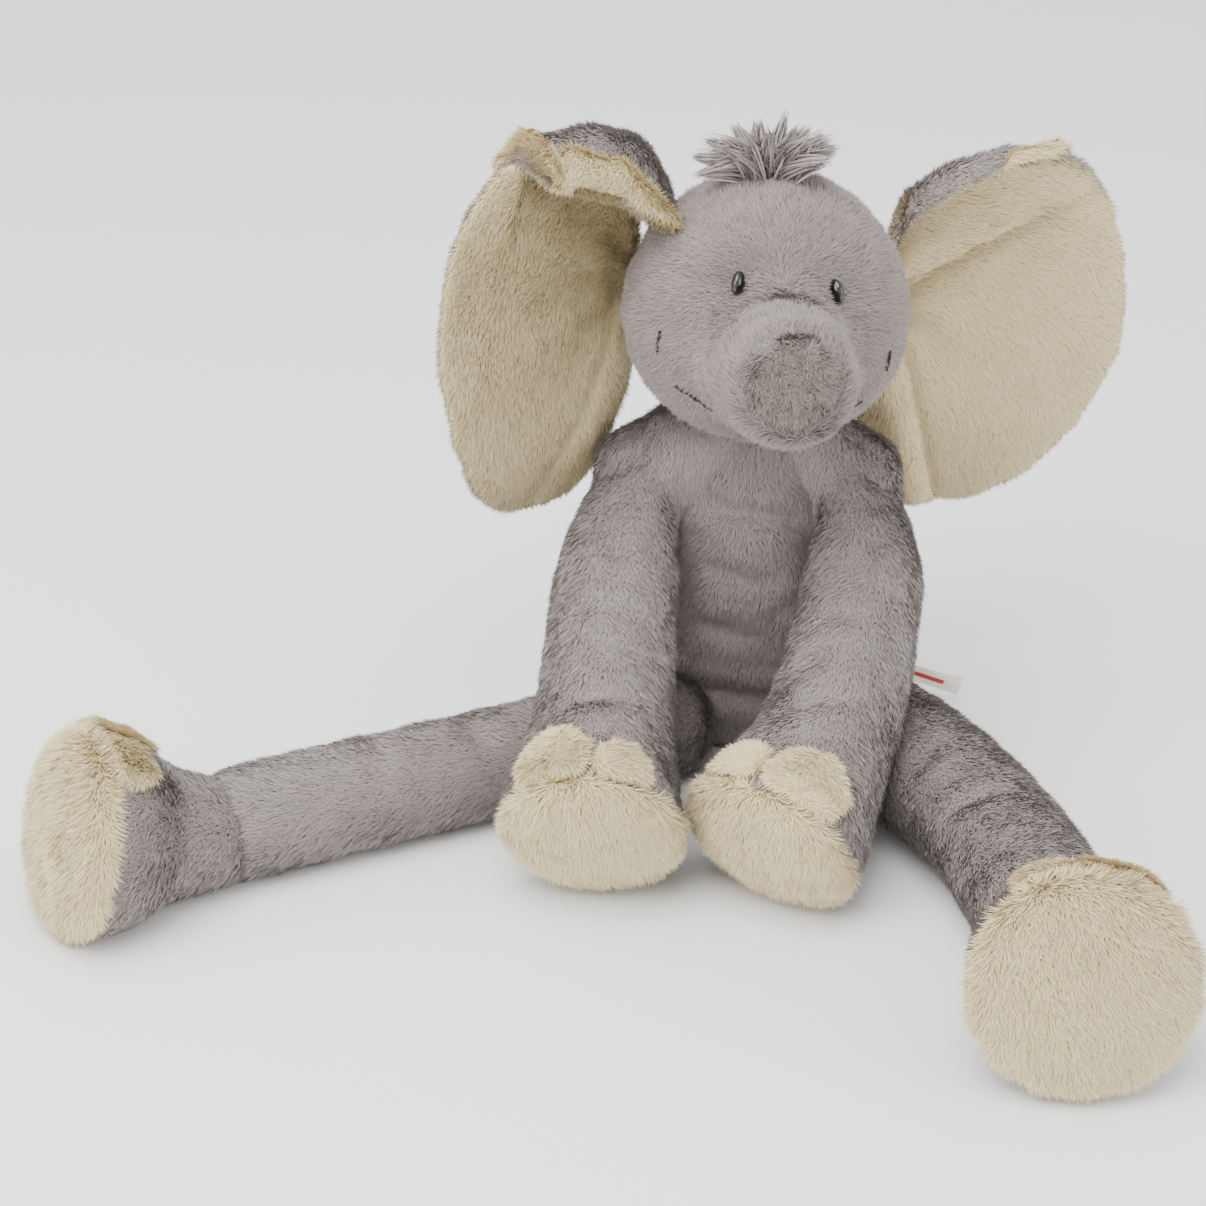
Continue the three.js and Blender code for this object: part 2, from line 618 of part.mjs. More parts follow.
// Embroidered marks: a smiling mouth line each side of the trunk, and a short upright stitch on each cheek.
function threadOn(from, to) {
  const points = [0, 0.25, 0.5, 0.75, 1].map((t) => {
    const flat = from.clone().lerp(to, t);
    const at = onFace(flat.x, flat.y);
    return at.addScaledVector(at.clone().normalize(), THREAD + 2 * GAP);
  });
  const section = new THREE.Shape().absarc(0, 0, THREAD, 0, 2 * Math.PI);
  const path = new THREE.CatmullRomCurve3(points);
  return solidOf(new THREE.ExtrudeGeometry(section, { extrudePath: path, steps: 4, curveSegments: 2 }));
}
for (const [side, outwards] of [["left", 1], ["right", -1]]) {
  const inner = new THREE.Vector2((outwards * MOUTH_SPACING) / 2, -MOUTH_DROP);
  const smile = new THREE.Vector2(outwards, MOUTH_RISE).setLength(MOUTH_LENGTH);
  const outer = inner.clone().add(smile);
  addPiece(head, `mouth_stitch_${side}`, threadOn(inner, outer), blackThread);
  const cheek = new THREE.Vector2((outwards * CHEEK_SPACING) / 2, -CHEEK_DROP);
  const cheekTop = new THREE.Vector2(cheek.x, CHEEK_LENGTH - CHEEK_DROP);
  addPiece(head, `cheek_stitch_${side}`, threadOn(cheek, cheekTop), blackThread);
}

// A fan of long pile that is sewn into the crown's seam.
const tuftBase = corner(-TUFT_SHIFT, TUFT_BACK, HEAD_HEIGHT / 2 - TUFT_SINK);
const fan = [
  [0, 0],
  [TUFT_WIDTH * 0.12, 0],
  [TUFT_WIDTH * 0.42, TUFT_HEIGHT * 0.35],
  [TUFT_WIDTH * 0.5, TUFT_HEIGHT * 0.55],
  [TUFT_WIDTH * 0.32, TUFT_HEIGHT * 0.85],
  [0, TUFT_HEIGHT],
];
const tuft = spin(fan, 16).rotateX(Math.PI / 2).scale(1, TUFT_DEPTH, 1);
tuft.translate(tuftBase.x, tuftBase.y, tuftBase.z);
addPiece(head, "hair_tuft", cut(solidOf(tuft), headSolid(-GAP)), greyPile);

// ---------- trunk ----------
const trunk = addGroup(head, trunkCentre);
const trunkLine = new Bend(TRUNK_LENGTH, [0, -TRUNK_TURN], [0, -TRUNK_RISE]);
const trunkStations = [[0, TRUNK_ROOT_RADIUS], [TRUNK_LENGTH, TRUNK_END_RADIUS]];
addPiece(trunk, "trunk_cover", limbCover(trunkLine, trunkStations, TRUNK_LENGTH), greyPile);
const trunkFilling = limbFilling(trunkLine, trunkStations, TRUNK_LENGTH - GAP, FABRIC + GAP);
addPiece(trunk, "trunk_stuffing", trunkFilling, fibreFill);
const trunkEnd = spin([
  [0, TRUNK_LENGTH + GAP],
  [TRUNK_END_RADIUS, TRUNK_LENGTH + GAP],
  [TRUNK_END_RADIUS, TRUNK_LENGTH + FABRIC],
  ...dome(TRUNK_END_RADIUS, TRUNK_BULGE, TRUNK_LENGTH + FABRIC),
]);
addPiece(trunk, "trunk_end_patch", solidOf(trunkLine.bend(trunkEnd)), greyPile);

// ---------- ears ----------
// Inner and outer edge of the ear at heights from its bottom (0) to its top (1), as shares of its width.
const earEdges = [
  [0, 0.28, 0.38],
  [0.03, 0.24, 0.48],
  [0.14, 0.17, 0.66],
  [0.29, 0.09, 0.86],
  [0.5, 0.02, 1],
  [0.62, 0, 0.98],
  [0.75, 0, 0.93],
  [0.87, 0.04, 0.83],
  [0.95, 0.22, 0.72],
  [1, 0.4, 0.58],
];
function earEdge(height, column) {
  const next = Math.max(earEdges.findIndex(([at]) => at >= height), 1);
  const [low, high] = [earEdges[next - 1], earEdges[next]];
  return THREE.MathUtils.mapLinear(height, low[0], high[0], low[column], high[column]);
}

// One layer of an ear between two depths, cupped forwards, with its top edge leaning forward at the root.
function earLayer(outwards, front, back) {
  const block = new THREE.BoxGeometry(1, 1, 1, 6, 1, 10).translate(0.5, 0, 0.5);
  const layer = warp(block, (p) => {
    const share = THREE.MathUtils.lerp(earEdge(p.z, 1), earEdge(p.z, 2), p.x);
    const depth = THREE.MathUtils.mapLinear(p.y, -0.5, 0.5, front, back);
    const cup = -EAR_CUP * share ** 2;
    const fold = -EAR_FOLD * THREE.MathUtils.smoothstep(p.z, 0.7, 1) * (1 - share) ** 1.5;
    const drape = EAR_DRAPE * (1 - THREE.MathUtils.smoothstep(p.z, 0, 0.4));
    p.set(share * EAR_WIDTH, depth + cup + fold + drape, (p.z - 0.5) * EAR_HEIGHT);
  });
  return solidOf(outwards > 0 ? layer : mirrored(layer));
}
const earFront = EAR_BACK - EAR_LAYER;
const headThere = (HEAD_WIDTH / 2) * Math.sqrt(1 - (earFront / (HEAD_DEPTH / 2)) ** 2);
for (const [side, outwards] of [["left", 1], ["right", -1]]) {
  const at = corner(outwards * (headThere + 2 * SWING), EAR_BACK, -EAR_DROP);
  const ear = addGroup(head, at, degrees(-outwards * EAR_SWEEP[side]));
  ear.rotation.y = degrees(EAR_TILT[side]);
  addPiece(ear, `ear_lining_${side}`, earLayer(outwards, -EAR_LAYER, 0), creamPile);
  addPiece(ear, `ear_back_${side}`, earLayer(outwards, GAP, GAP + EAR_LAYER), greyPile);
}

// ---------- tail ----------
const tailAt = corner(0, TORSO_DEPTH / 2 + TAIL_RADIUS + SWING, TAIL_HEIGHT);
const tail = addGroup(root, tailAt, Math.PI);
const tailLine = new Bend(TAIL_LENGTH, [0, 14], [64, 18]);
const tailStations = [[0, TAIL_RADIUS], [TAIL_LENGTH, TAIL_RADIUS * 0.75]];
addPiece(tail, "tail_cover", solidOf(
  tailLine.bend(spin([...limbOutline(tailLine, tailStations, TAIL_LENGTH, 0), [0, TAIL_LENGTH]], 12)),
), greyPile);
const tailTuft = [
  [0, TAIL_LENGTH + GAP],
  [TAIL_RADIUS * 0.7, TAIL_LENGTH + GAP],
  [TAIL_TUFT_RADIUS, TAIL_LENGTH + TAIL_TUFT_LENGTH * 0.36],
  [TAIL_TUFT_RADIUS * 0.8, TAIL_LENGTH + TAIL_TUFT_LENGTH * 0.68],
  [0, TAIL_LENGTH + TAIL_TUFT_LENGTH],
];
const tuftSolid = solidOf(tailLine.bend(spin(tailTuft, 12)));
addPiece(tail, "tail_tuft", cut(tuftSolid, belowFloor(-TAIL_HEIGHT + GAP)), greyPile);

// ---------- label ----------
const labelRoot = corner(TORSO_WIDTH / 2 + SWING, LABEL_BACK, LABEL_HEIGHT - LABEL_WIDTH / 2);
const label = addGroup(root, labelRoot);
const strip = new THREE.BoxGeometry(LABEL_LENGTH, LABEL_THICK, LABEL_WIDTH);
strip.translate(LABEL_LENGTH / 2, 0, 0);
addPiece(label, "side_label", solidOf(strip.rotateY(degrees(LABEL_DIP))), ribbon);

export default root;
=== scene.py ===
"""A long-limbed plush elephant that sits on its own: grey pile, cream ear linings, soles and toenails."""
import json
import math

import bmesh
import bpy
import numpy as np
from mathutils import Matrix, Vector, noise
from mathutils.bvhtree import BVHTree


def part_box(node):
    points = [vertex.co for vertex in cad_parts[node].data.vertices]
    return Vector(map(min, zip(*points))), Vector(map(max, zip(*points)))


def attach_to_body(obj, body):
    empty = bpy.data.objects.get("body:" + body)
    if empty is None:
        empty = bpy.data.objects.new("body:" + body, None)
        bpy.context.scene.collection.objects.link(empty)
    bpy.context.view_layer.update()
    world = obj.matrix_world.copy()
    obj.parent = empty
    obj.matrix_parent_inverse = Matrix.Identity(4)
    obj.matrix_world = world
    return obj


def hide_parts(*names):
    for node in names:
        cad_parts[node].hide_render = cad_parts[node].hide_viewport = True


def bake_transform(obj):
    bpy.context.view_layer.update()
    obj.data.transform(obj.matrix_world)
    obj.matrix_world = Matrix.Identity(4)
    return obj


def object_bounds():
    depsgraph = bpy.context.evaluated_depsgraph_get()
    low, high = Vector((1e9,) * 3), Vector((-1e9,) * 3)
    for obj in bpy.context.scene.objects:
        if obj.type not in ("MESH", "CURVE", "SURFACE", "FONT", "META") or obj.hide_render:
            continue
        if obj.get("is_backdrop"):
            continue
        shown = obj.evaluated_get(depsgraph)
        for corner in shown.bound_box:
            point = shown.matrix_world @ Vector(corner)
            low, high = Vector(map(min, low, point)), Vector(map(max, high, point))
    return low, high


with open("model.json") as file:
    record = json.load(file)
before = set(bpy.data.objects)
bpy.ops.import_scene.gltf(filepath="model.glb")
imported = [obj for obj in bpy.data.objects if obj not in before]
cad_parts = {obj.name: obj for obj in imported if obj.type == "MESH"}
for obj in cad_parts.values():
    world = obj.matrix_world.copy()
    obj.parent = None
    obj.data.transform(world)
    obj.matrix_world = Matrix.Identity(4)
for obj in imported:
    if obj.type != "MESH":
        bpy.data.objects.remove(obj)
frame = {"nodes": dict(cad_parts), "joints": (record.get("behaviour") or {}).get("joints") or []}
cad_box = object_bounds()
scene = bpy.context.scene

# ---------------------------------------------------------------- camera, floor and light
# The toy is seen from the front and a little above, on a plain pale floor, in the soft even light of a studio
# with a large lamp overhead and a weaker one from each side.
CAMERA_PLACE = (-0.020, -0.883, 0.5185)
CAMERA_LOOKS_DOWN = 28
CAMERA_TURN = 2.6
LENS = 73.1
FLOOR_SIDE = 6.0
FLOOR_COLOUR = (0.93, 0.93, 0.93, 1)
LAMPS = (
    ("overhead_lamp", (-0.35, -0.55, 1.5), 1.2, 30.0),
    ("left_lamp", (-1.4, -0.9, 0.8), 1.0, 16.0),
    ("right_lamp", (1.5, -0.7, 0.7), 1.0, 9.0),
)
SKY = 1.35


def linked(name, data):
    piece = bpy.data.objects.new(name, data)
    scene.collection.objects.link(piece)
    return piece


def plain_material(name, colour, roughness):
    material = bpy.data.materials.new(name)
    material.use_nodes = True
    shader = material.node_tree.nodes["Principled BSDF"]
    shader.inputs["Base Color"].default_value = colour
    shader.inputs["Roughness"].default_value = roughness
    return material


camera = linked("camera", bpy.data.cameras.new("camera"))
camera.data.lens = LENS
camera.data.sensor_width = 36
camera.location = CAMERA_PLACE
camera.rotation_euler = (math.radians(90 - CAMERA_LOOKS_DOWN), 0, math.radians(CAMERA_TURN))
scene.camera = camera

floor_mesh = bpy.data.meshes.new("floor")
half = FLOOR_SIDE / 2
floor_mesh.from_pydata([(-half, -half, 0), (half, -half, 0), (half, half, 0), (-half, half, 0)], [], [(0, 1, 2, 3)])
floor = linked("floor", floor_mesh)
floor_mesh.materials.append(plain_material("floor_paper", FLOOR_COLOUR, 0.9))
floor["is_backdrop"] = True

for lamp_name, place, size, power in LAMPS:
    lamp = linked(lamp_name, bpy.data.lights.new(lamp_name, "AREA"))
    lamp.data.size = size
    lamp.data.energy = power
    lamp.location = place
    lamp.rotation_euler = (Vector((0, -0.08, 0.08)) - Vector(place)).to_track_quat("-Z", "Y").to_euler()

world = bpy.data.worlds.new("studio")
world.use_nodes = True
world.node_tree.nodes["Background"].inputs["Color"].default_value = (1, 1, 1, 1)
world.node_tree.nodes["Background"].inputs["Strength"].default_value = SKY
scene.world = world

# ---------------------------------------------------------------- torso
# The body is a stuffed bag of grey pile cloth: one cover for the back and sides and a front panel between two
# long curved seams. Its cloth lies in soft folds over the filling, and its pile is combed downwards.
SKIN_CELL = 0.003
SEAM_DEPTH = 0.0012
SEAM_WIDTH = 0.0035
PILE_LENGTH = 0.0038
PILE_WIDTH = 0.00055
PILE_DENSITY = 4.5e6
# The root colours are darker than the tips as painted shade at the bottom of the pile; the backing cloth takes the
# root colour too.
GREY_TIP = (0.375, 0.334, 0.318, 1)
GREY_SHADED_ROOT = (0.205, 0.172, 0.160, 1)
CREAM_TIP = (0.760, 0.650, 0.400, 1)
CREAM_SHADED_ROOT = (0.540, 0.420, 0.210, 1)
TORSO_FOLDS = (
    ((-0.030, -0.030, 0.112), (0.022, -0.034, 0.104), 0.0034),
    ((-0.024, -0.038, 0.088), (0.010, -0.040, 0.080), 0.0026),
    ((-0.038, -0.040, 0.066), (0.004, -0.044, 0.058), 0.0030),
    ((0.040, -0.038, 0.076), (0.008, -0.044, 0.070), 0.0026),
    ((-0.034, -0.042, 0.036), (0.020, -0.044, 0.030), 0.0030),
)


def solid_from(name, nodes, hulls=False):
    """One object with copies of these CAD solids, or of the full shapes round them."""
    whole = bmesh.new()
    for node in nodes:
        part = bmesh.new()
        part.from_mesh(frame["nodes"][node].data)
        bmesh.ops.remove_doubles(part, verts=part.verts, dist=1e-5)
        if hulls:
            hull = bmesh.ops.convex_hull(part, input=part.verts)
            spare = {x for x in hull["geom_interior"] + hull["geom_unused"] if isinstance(x, bmesh.types.BMVert)}
            bmesh.ops.delete(part, geom=list(spare), context="VERTS")
        shape = bpy.data.meshes.new("part")
        part.to_mesh(shape)
        part.free()
        whole.from_mesh(shape)
    mesh = bpy.data.meshes.new(name)
    whole.to_mesh(mesh)
    whole.free()
    return linked(name, mesh)


def apply_modifiers(piece):
    graph = bpy.context.evaluated_depsgraph_get()
    mesh = bpy.data.meshes.new_from_object(piece.evaluated_get(graph))
    piece.modifiers.clear()
    piece.data = mesh
    return piece


def even_skin(name, nodes, hulls=False, cell=SKIN_CELL, softening=8, more=None):
    """A closed skin of even small faces round these CAD solids, with their facets smoothed away."""
    piece = solid_from(name, nodes, hulls)
    if more:
        both = bmesh.new()
        both.from_mesh(piece.data)
        both.from_mesh(more)
        both.to_mesh(piece.data)
        both.free()
    remesh = piece.modifiers.new("even", "REMESH")
    remesh.mode = "VOXEL"
    remesh.voxel_size = cell
    remesh.use_smooth_shade = True
    soften = piece.modifiers.new("soften", "SMOOTH")
    soften.factor = 0.6
    soften.iterations = softening
    return apply_modifiers(piece)


def points_of(mesh):
    points = np.empty(len(mesh.vertices) * 3)
    mesh.vertices.foreach_get("co", points)
    return points.reshape(-1, 3)


def normals_of(mesh):
    normals = np.empty(len(mesh.vertices) * 3)
    mesh.vertex_normals.foreach_get("vector", normals)
    return normals.reshape(-1, 3)


def move_points(mesh, points):
    mesh.vertices.foreach_set("co", points.ravel())
    mesh.update()


def settle_cloth(piece, pressure, spare, most):
    """Lets the cover swell over its filling: it is cut larger than it by the spare share, so it folds."""
    before = points_of(piece.data)
    cloth = piece.modifiers.new("cloth", "CLOTH")
    cloth.settings.quality = 5
    cloth.settings.mass = 0.2
    cloth.settings.tension_stiffness = 12
    cloth.settings.compression_stiffness = 12
    cloth.settings.shear_stiffness = 4
    cloth.settings.bending_stiffness = 0.4
    cloth.settings.use_pressure = True
    cloth.settings.uniform_pressure_force = pressure
    cloth.settings.shrink_min = -spare
    cloth.settings.effector_weights.gravity = 0
    cloth.collision_settings.use_collision = False
    for step in range(1, 21):
        scene.frame_set(step)
    moved = points_of(piece.evaluated_get(bpy.context.evaluated_depsgraph_get()).data)
    piece.modifiers.clear()
    scene.frame_set(1)
    shift = moved - before
    far = np.linalg.norm(shift, axis=1, keepdims=True)
    points = before + shift * np.minimum(1, most / np.maximum(far, 1e-9))
    points[:, 2] = np.maximum(points[:, 2], 0.0003)
    move_points(piece.data, points)


def tree_of(nodes):
    """What finds the nearest place on these CAD solids."""
    whole = bmesh.new()
    for node in nodes:
        whole.from_mesh(frame["nodes"][node].data)
    tree = BVHTree.FromBMesh(whole)
    whole.free()
    return tree


def distances(points, tree):
    return np.array([tree.find_nearest(Vector(p))[3] for p in points])


def sew_seam(piece, one_side, other_side, depth=SEAM_DEPTH, width=SEAM_WIDTH):
    """Pulls the skin in where two pieces of cloth meet."""
    points = points_of(piece.data)
    apart = distances(points, tree_of(one_side)) - distances(points, tree_of(other_side))
    near = np.exp(-((apart / width) ** 2))
    move_points(piece.data, points - normals_of(piece.data) * (depth * near)[:, None])


def comb(piece, towards):
    """Stores which way the pile lies, and lays out the map that the pile's colours are kept on."""
    mesh = piece.data
    points = points_of(mesh)
    lie = mesh.attributes.new("comb", "FLOAT_VECTOR", "POINT")
    lie.data.foreach_set("vector", np.array([towards(Vector(p)).normalized() for p in points]).ravel())
    low, high = points.min(0), points.max(0)
    corner = np.empty(len(mesh.loops), np.int32)
    mesh.loops.foreach_get("vertex_index", corner)
    flat = (points - low) / (high - low).max()
    across = 0.7 * flat[:, 0] + 0.3 * flat[:, 1]
    layout = mesh.uv_layers.new(name="OFBake")
    layout.uv.foreach_set("vector", np.stack([across, flat[:, 2]], 1)[corner].ravel())


def pile_tree():
    """Short strands, one on each of many scattered points, that lean the way the pile is combed."""
    tree = bpy.data.node_groups.new("pile", "GeometryNodeTree")
    face = tree.interface
    face.new_socket("Geometry", in_out="INPUT", socket_type="NodeSocketGeometry")
    for label, kind in (
        ("Density", "Float"), ("Length", "Float"), ("Width", "Float"), ("Lift", "Float"), ("Swirl", "Float"),
        ("Swirl Size", "Float"), ("Clump", "Float"), ("Clump Size", "Float"), ("Softness", "Float"),
        ("Seed", "Int"), ("Material", "Material"),
    ):
        face.new_socket(label, in_out="INPUT", socket_type="NodeSocket" + kind)
    face.new_socket("Geometry", in_out="OUTPUT", socket_type="NodeSocketGeometry")
    nodes, links = tree.nodes, tree.links
    given = nodes.new("NodeGroupInput").outputs

    def node(kind, *values, **settings):
        made = nodes.new(kind)
        for setting, value in settings.items():
            setattr(made, setting, value)
        for socket, value in zip(made.inputs, values):
            if isinstance(value, bpy.types.NodeSocket):
                links.new(value, socket)
            elif value is not None:
                socket.default_value = value
        return made

    def maths(operation, *values):
        return node("ShaderNodeMath", *values, operation=operation).outputs[0]

    def vectors(operation, *values):
        made = node("ShaderNodeVectorMath", *values, operation=operation)
        return made.outputs["Value"] if operation == "DOT_PRODUCT" else made.outputs["Vector"]

    def scaled(vector, by):
        made = node("ShaderNodeVectorMath", vector, operation="SCALE")
        links.new(by, made.inputs["Scale"])
        return made.outputs["Vector"]

    def chance(low, high, seed):
        made = nodes.new("FunctionNodeRandomValue")
        made.inputs[2].default_value = low
        made.inputs[3].default_value = high
        made.inputs["Seed"].default_value = seed
        return made.outputs[1]

    def named(attribute, kind):
        return node("GeometryNodeInputNamedAttribute", attribute, data_type=kind).outputs["Attribute"]

    def clouds(size, detail):
        made = nodes.new("ShaderNodeTexNoise")
        links.new(nodes.new("GeometryNodeInputPosition").outputs[0], made.inputs["Vector"])
        links.new(size, made.inputs["Scale"])
        made.inputs["Detail"].default_value = detail
        return made.outputs

    scatter = node("GeometryNodeDistributePointsOnFaces", distribute_method="RANDOM")
    links.new(given["Geometry"], scatter.inputs["Mesh"])
    links.new(maths("MULTIPLY", given["Density"], named("cover", "FLOAT")), scatter.inputs["Density"])
    links.new(given["Seed"], scatter.inputs["Seed"])
    normal = node(
        "GeometryNodeStoreNamedAttribute", scatter.outputs["Points"], None, "out", data_type="FLOAT_VECTOR"
    )
    links.new(scatter.outputs["Normal"], normal.inputs["Value"])

    out = named("out", "FLOAT_VECTOR")
    swirl = vectors("SUBTRACT", clouds(given["Swirl Size"], 1.0)["Color"], (0.5, 0.5, 0.5))
    lie = vectors("ADD", named("comb", "FLOAT_VECTOR"), scaled(swirl, given["Swirl"]))
    along = vectors("NORMALIZE", vectors("SUBTRACT", lie, scaled(out, vectors("DOT_PRODUCT", lie, out))))
    tuft = maths("SUBTRACT", clouds(given["Clump Size"], 2.0)["Fac"], 0.5)
    lift = maths("ADD", given["Lift"], maths("MULTIPLY", tuft, given["Clump"]))
    lift = maths("MULTIPLY", lift, chance(0.55, 1.45, 1))
    aside = vectors("CROSS_PRODUCT", out, along)
    lean = vectors("ADD", scaled(along, maths("COSINE", lift)), scaled(out, maths("SINE", lift)))
    lean = vectors("ADD", lean, scaled(aside, chance(-0.5, 0.5, 2)))

    ring = node("GeometryNodeMeshCircle", 3, 1.0, fill_type="NGON")
    blade = node("GeometryNodeTransform", ring.outputs[0])
    blade.inputs["Translation"].default_value = (1 / 3, 0, 0)
    blade.inputs["Scale"].default_value = (2 / 3, 1 / math.sqrt(3), 1)
    tip = node("GeometryNodeStoreNamedAttribute", blade.outputs[0], None, "tip", data_type="FLOAT")
    place = node("ShaderNodeSeparateXYZ", nodes.new("GeometryNodeInputPosition").outputs[0])
    links.new(place.outputs["X"], tip.inputs["Value"])

    turn = node("FunctionNodeAxesToRotation", lean, out, primary_axis="X", secondary_axis="Z")
    spin = node("FunctionNodeAxisAngleToRotation", (1, 0, 0), chance(-0.6, 0.6, 3))
    turned = node("FunctionNodeRotateRotation", turn.outputs[0], spin.outputs[0], rotation_space="LOCAL")
    size = node(
        "ShaderNodeCombineXYZ",
        maths("MULTIPLY", given["Length"], maths("MULTIPLY", chance(0.7, 1.25, 4), maths("ADD", 1.0, tuft))),
        maths("MULTIPLY", given["Width"], chance(0.7, 1.3, 5)),
        1.0,
    )
    strands = nodes.new("GeometryNodeInstanceOnPoints")
    links.new(normal.outputs[0], strands.inputs["Points"])
    links.new(tip.outputs[0], strands.inputs["Instance"])
    links.new(turned.outputs[0], strands.inputs["Rotation"])
    links.new(size.outputs[0], strands.inputs["Scale"])
    shade = node(
        "GeometryNodeStoreNamedAttribute", strands.outputs[0], None, "shade", data_type="FLOAT", domain="INSTANCE"
    )
    links.new(chance(0, 1, 6), shade.inputs["Value"])
    real = node("GeometryNodeRealizeInstances", shade.outputs[0])
    layout = node(
        "GeometryNodeStoreNamedAttribute", real.outputs[0], None, "OFBake", data_type="FLOAT2", domain="CORNER"
    )
    links.new(named("OFBake", "FLOAT_VECTOR"), layout.inputs["Value"])
    soft = nodes.new("GeometryNodeSetMeshNormal")
    soft.mode = "FREE"
    soft.domain = "CORNER"
    links.new(layout.outputs[0], soft.inputs["Mesh"])
    flat = nodes.new("GeometryNodeInputNormal").outputs[0]
    smooth = node("ShaderNodeMix", data_type="VECTOR")
    links.new(given["Softness"], smooth.inputs[0])
    links.new(flat, smooth.inputs[4])
    links.new(named("out", "FLOAT_VECTOR"), smooth.inputs[5])
    links.new(smooth.outputs[1], next(s for s in soft.inputs if s.type == "VECTOR"))
    coloured = node("GeometryNodeSetMaterial", soft.outputs[0])
    links.new(given["Material"], coloured.inputs["Material"])
    links.new(coloured.outputs[0], nodes.new("NodeGroupOutput").inputs[0])
    return tree


def pile_material(name, root, tip, patch, fleck=0.16):
    """Pile with painted shade: darker towards the strands' roots than at their tips, and a little uneven from clump
    to clump.
    """
    material = bpy.data.materials.new(name)
    material.use_nodes = True
    nodes, links = material.node_tree.nodes, material.node_tree.links
    shader = nodes["Principled BSDF"]
    shader.inputs["Roughness"].default_value = 0.75
    shader.inputs["Specular IOR Level"].default_value = 0.25
    shader.inputs["Sheen Weight"].default_value = 0.15
    shader.inputs["Sheen Roughness"].default_value = 0.45
    place = nodes.new("ShaderNodeTexCoord").outputs["Object"]
    cloud = nodes.new("ShaderNodeTexNoise")
    cloud.inputs["Scale"].default_value = patch
    cloud.inputs["Detail"].default_value = 3
    links.new(place, cloud.inputs["Vector"])
    strand = nodes.new("ShaderNodeAttribute")
    strand.attribute_name = "shade"
    height = nodes.new("ShaderNodeAttribute")
    height.attribute_name = "tip"
    # Painted shade: the strands darken from the tip colour to the root colour.
    ramp = nodes.new("ShaderNodeMix")
    ramp.data_type = "RGBA"
    ramp.inputs[6].default_value = root
    ramp.inputs[7].default_value = tip
    rise = nodes.new("ShaderNodeMapRange")
    rise.inputs["From Min"].default_value = -0.1
    rise.inputs["From Max"].default_value = 0.6
    links.new(height.outputs["Fac"], rise.inputs["Value"])
    links.new(rise.outputs[0], ramp.inputs[0])
    light = nodes.new("ShaderNodeMath")
    light.operation = "ADD"
    links.new(cloud.outputs["Fac"], light.inputs[0])
    links.new(strand.outputs["Fac"], light.inputs[1])
    level = nodes.new("ShaderNodeMapRange")
    level.inputs["From Min"].default_value = 0.2
    level.inputs["From Max"].default_value = 1.8
    level.inputs["To Min"].default_value = 1 - fleck
    level.inputs["To Max"].default_value = 1 + fleck
    links.new(light.outputs[0], level.inputs["Value"])
    dyed = nodes.new("ShaderNodeVectorMath")
    dyed.operation = "SCALE"
    links.new(ramp.outputs[2], dyed.inputs[0])
    links.new(level.outputs[0], dyed.inputs["Scale"])
    links.new(dyed.outputs[0], shader.inputs["Base Color"])
    return material


def backing_material(name, colour):
    """The knitted backing that shows at the bottom of the pile, drawn in the roots' darker colour as painted shade.
    """
    material = plain_material(name, colour, 0.95)
    nodes, links = material.node_tree.nodes, material.node_tree.links
    knit = nodes.new("ShaderNodeTexNoise")
    knit.inputs["Scale"].default_value = 900
    links.new(nodes.new("ShaderNodeTexCoord").outputs["Object"], knit.inputs["Vector"])
    bump = nodes.new("ShaderNodeBump")
    bump.inputs["Strength"].default_value = 0.4
    bump.inputs["Distance"].default_value = 0.0006
    links.new(knit.outputs["Fac"], bump.inputs["Height"])
    links.new(bump.outputs["Normal"], nodes["Principled BSDF"].inputs["Normal"])
    return material


PILE = pile_tree()
GREY_PILE = pile_material("grey_pile", GREY_SHADED_ROOT, GREY_TIP, 70)
GREY_BACKING = backing_material("grey_backing", GREY_SHADED_ROOT)
CREAM_PILE = pile_material("cream_pile", CREAM_SHADED_ROOT, CREAM_TIP, 60, 0.12)
CREAM_BACKING = backing_material("cream_backing", CREAM_SHADED_ROOT)
FINISHES = {"grey_pile": (GREY_PILE, GREY_BACKING), "cream_pile": (CREAM_PILE, CREAM_BACKING)}


def grow_pile(name, skin, finish, seed, **changes):
    """The pile of one skin, as a plain mesh."""
    sizes = {
        "Density": PILE_DENSITY, "Length": PILE_LENGTH, "Width": PILE_WIDTH, "Lift": 0.46, "Swirl": 1.6,
        "Swirl Size": 45.0, "Clump": 0.5, "Clump Size": 130.0, "Softness": 0.6,
    }
    sizes.update(changes)
    carrier = linked(name + "_roots", skin.data.copy())
    if "cover" not in carrier.data.attributes:
        full = carrier.data.attributes.new("cover", "FLOAT", "POINT")
        full.data.foreach_set("value", np.ones(len(carrier.data.vertices)))
    modifier = carrier.modifiers.new("pile", "NODES")
    modifier.node_group = PILE
    for item in PILE.interface.items_tree:
        if item.in_out == "INPUT" and item.name in sizes:
            modifier[item.identifier] = sizes[item.name]
        elif item.name == "Seed":
            modifier[item.identifier] = seed
        elif item.name == "Material":
            modifier[item.identifier] = FINISHES[finish][0]
    graph = bpy.context.evaluated_depsgraph_get()
    mesh = bpy.data.meshes.new_from_object(carrier.evaluated_get(graph))
    bpy.data.objects.remove(carrier)
    points = points_of(mesh)
    points[:, 2] = np.maximum(points[:, 2], 0)
    move_points(mesh, points)
    pile = linked(name, mesh)
    return pile


def dress(skin, finish, bodies, start=None, end=None):
    """Gives a skin its backing cloth, and lets it ride on one body; given a start, it only has its placement
    applied.
    """
    skin.data.materials.clear()
    skin.data.materials.append(FINISHES[finish][1])
    attach(skin, bodies, start, end)


def attach(piece, bodies, start=None, end=None):
    if start is None:
        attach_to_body(piece, bodies)
    else:
        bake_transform(piece)


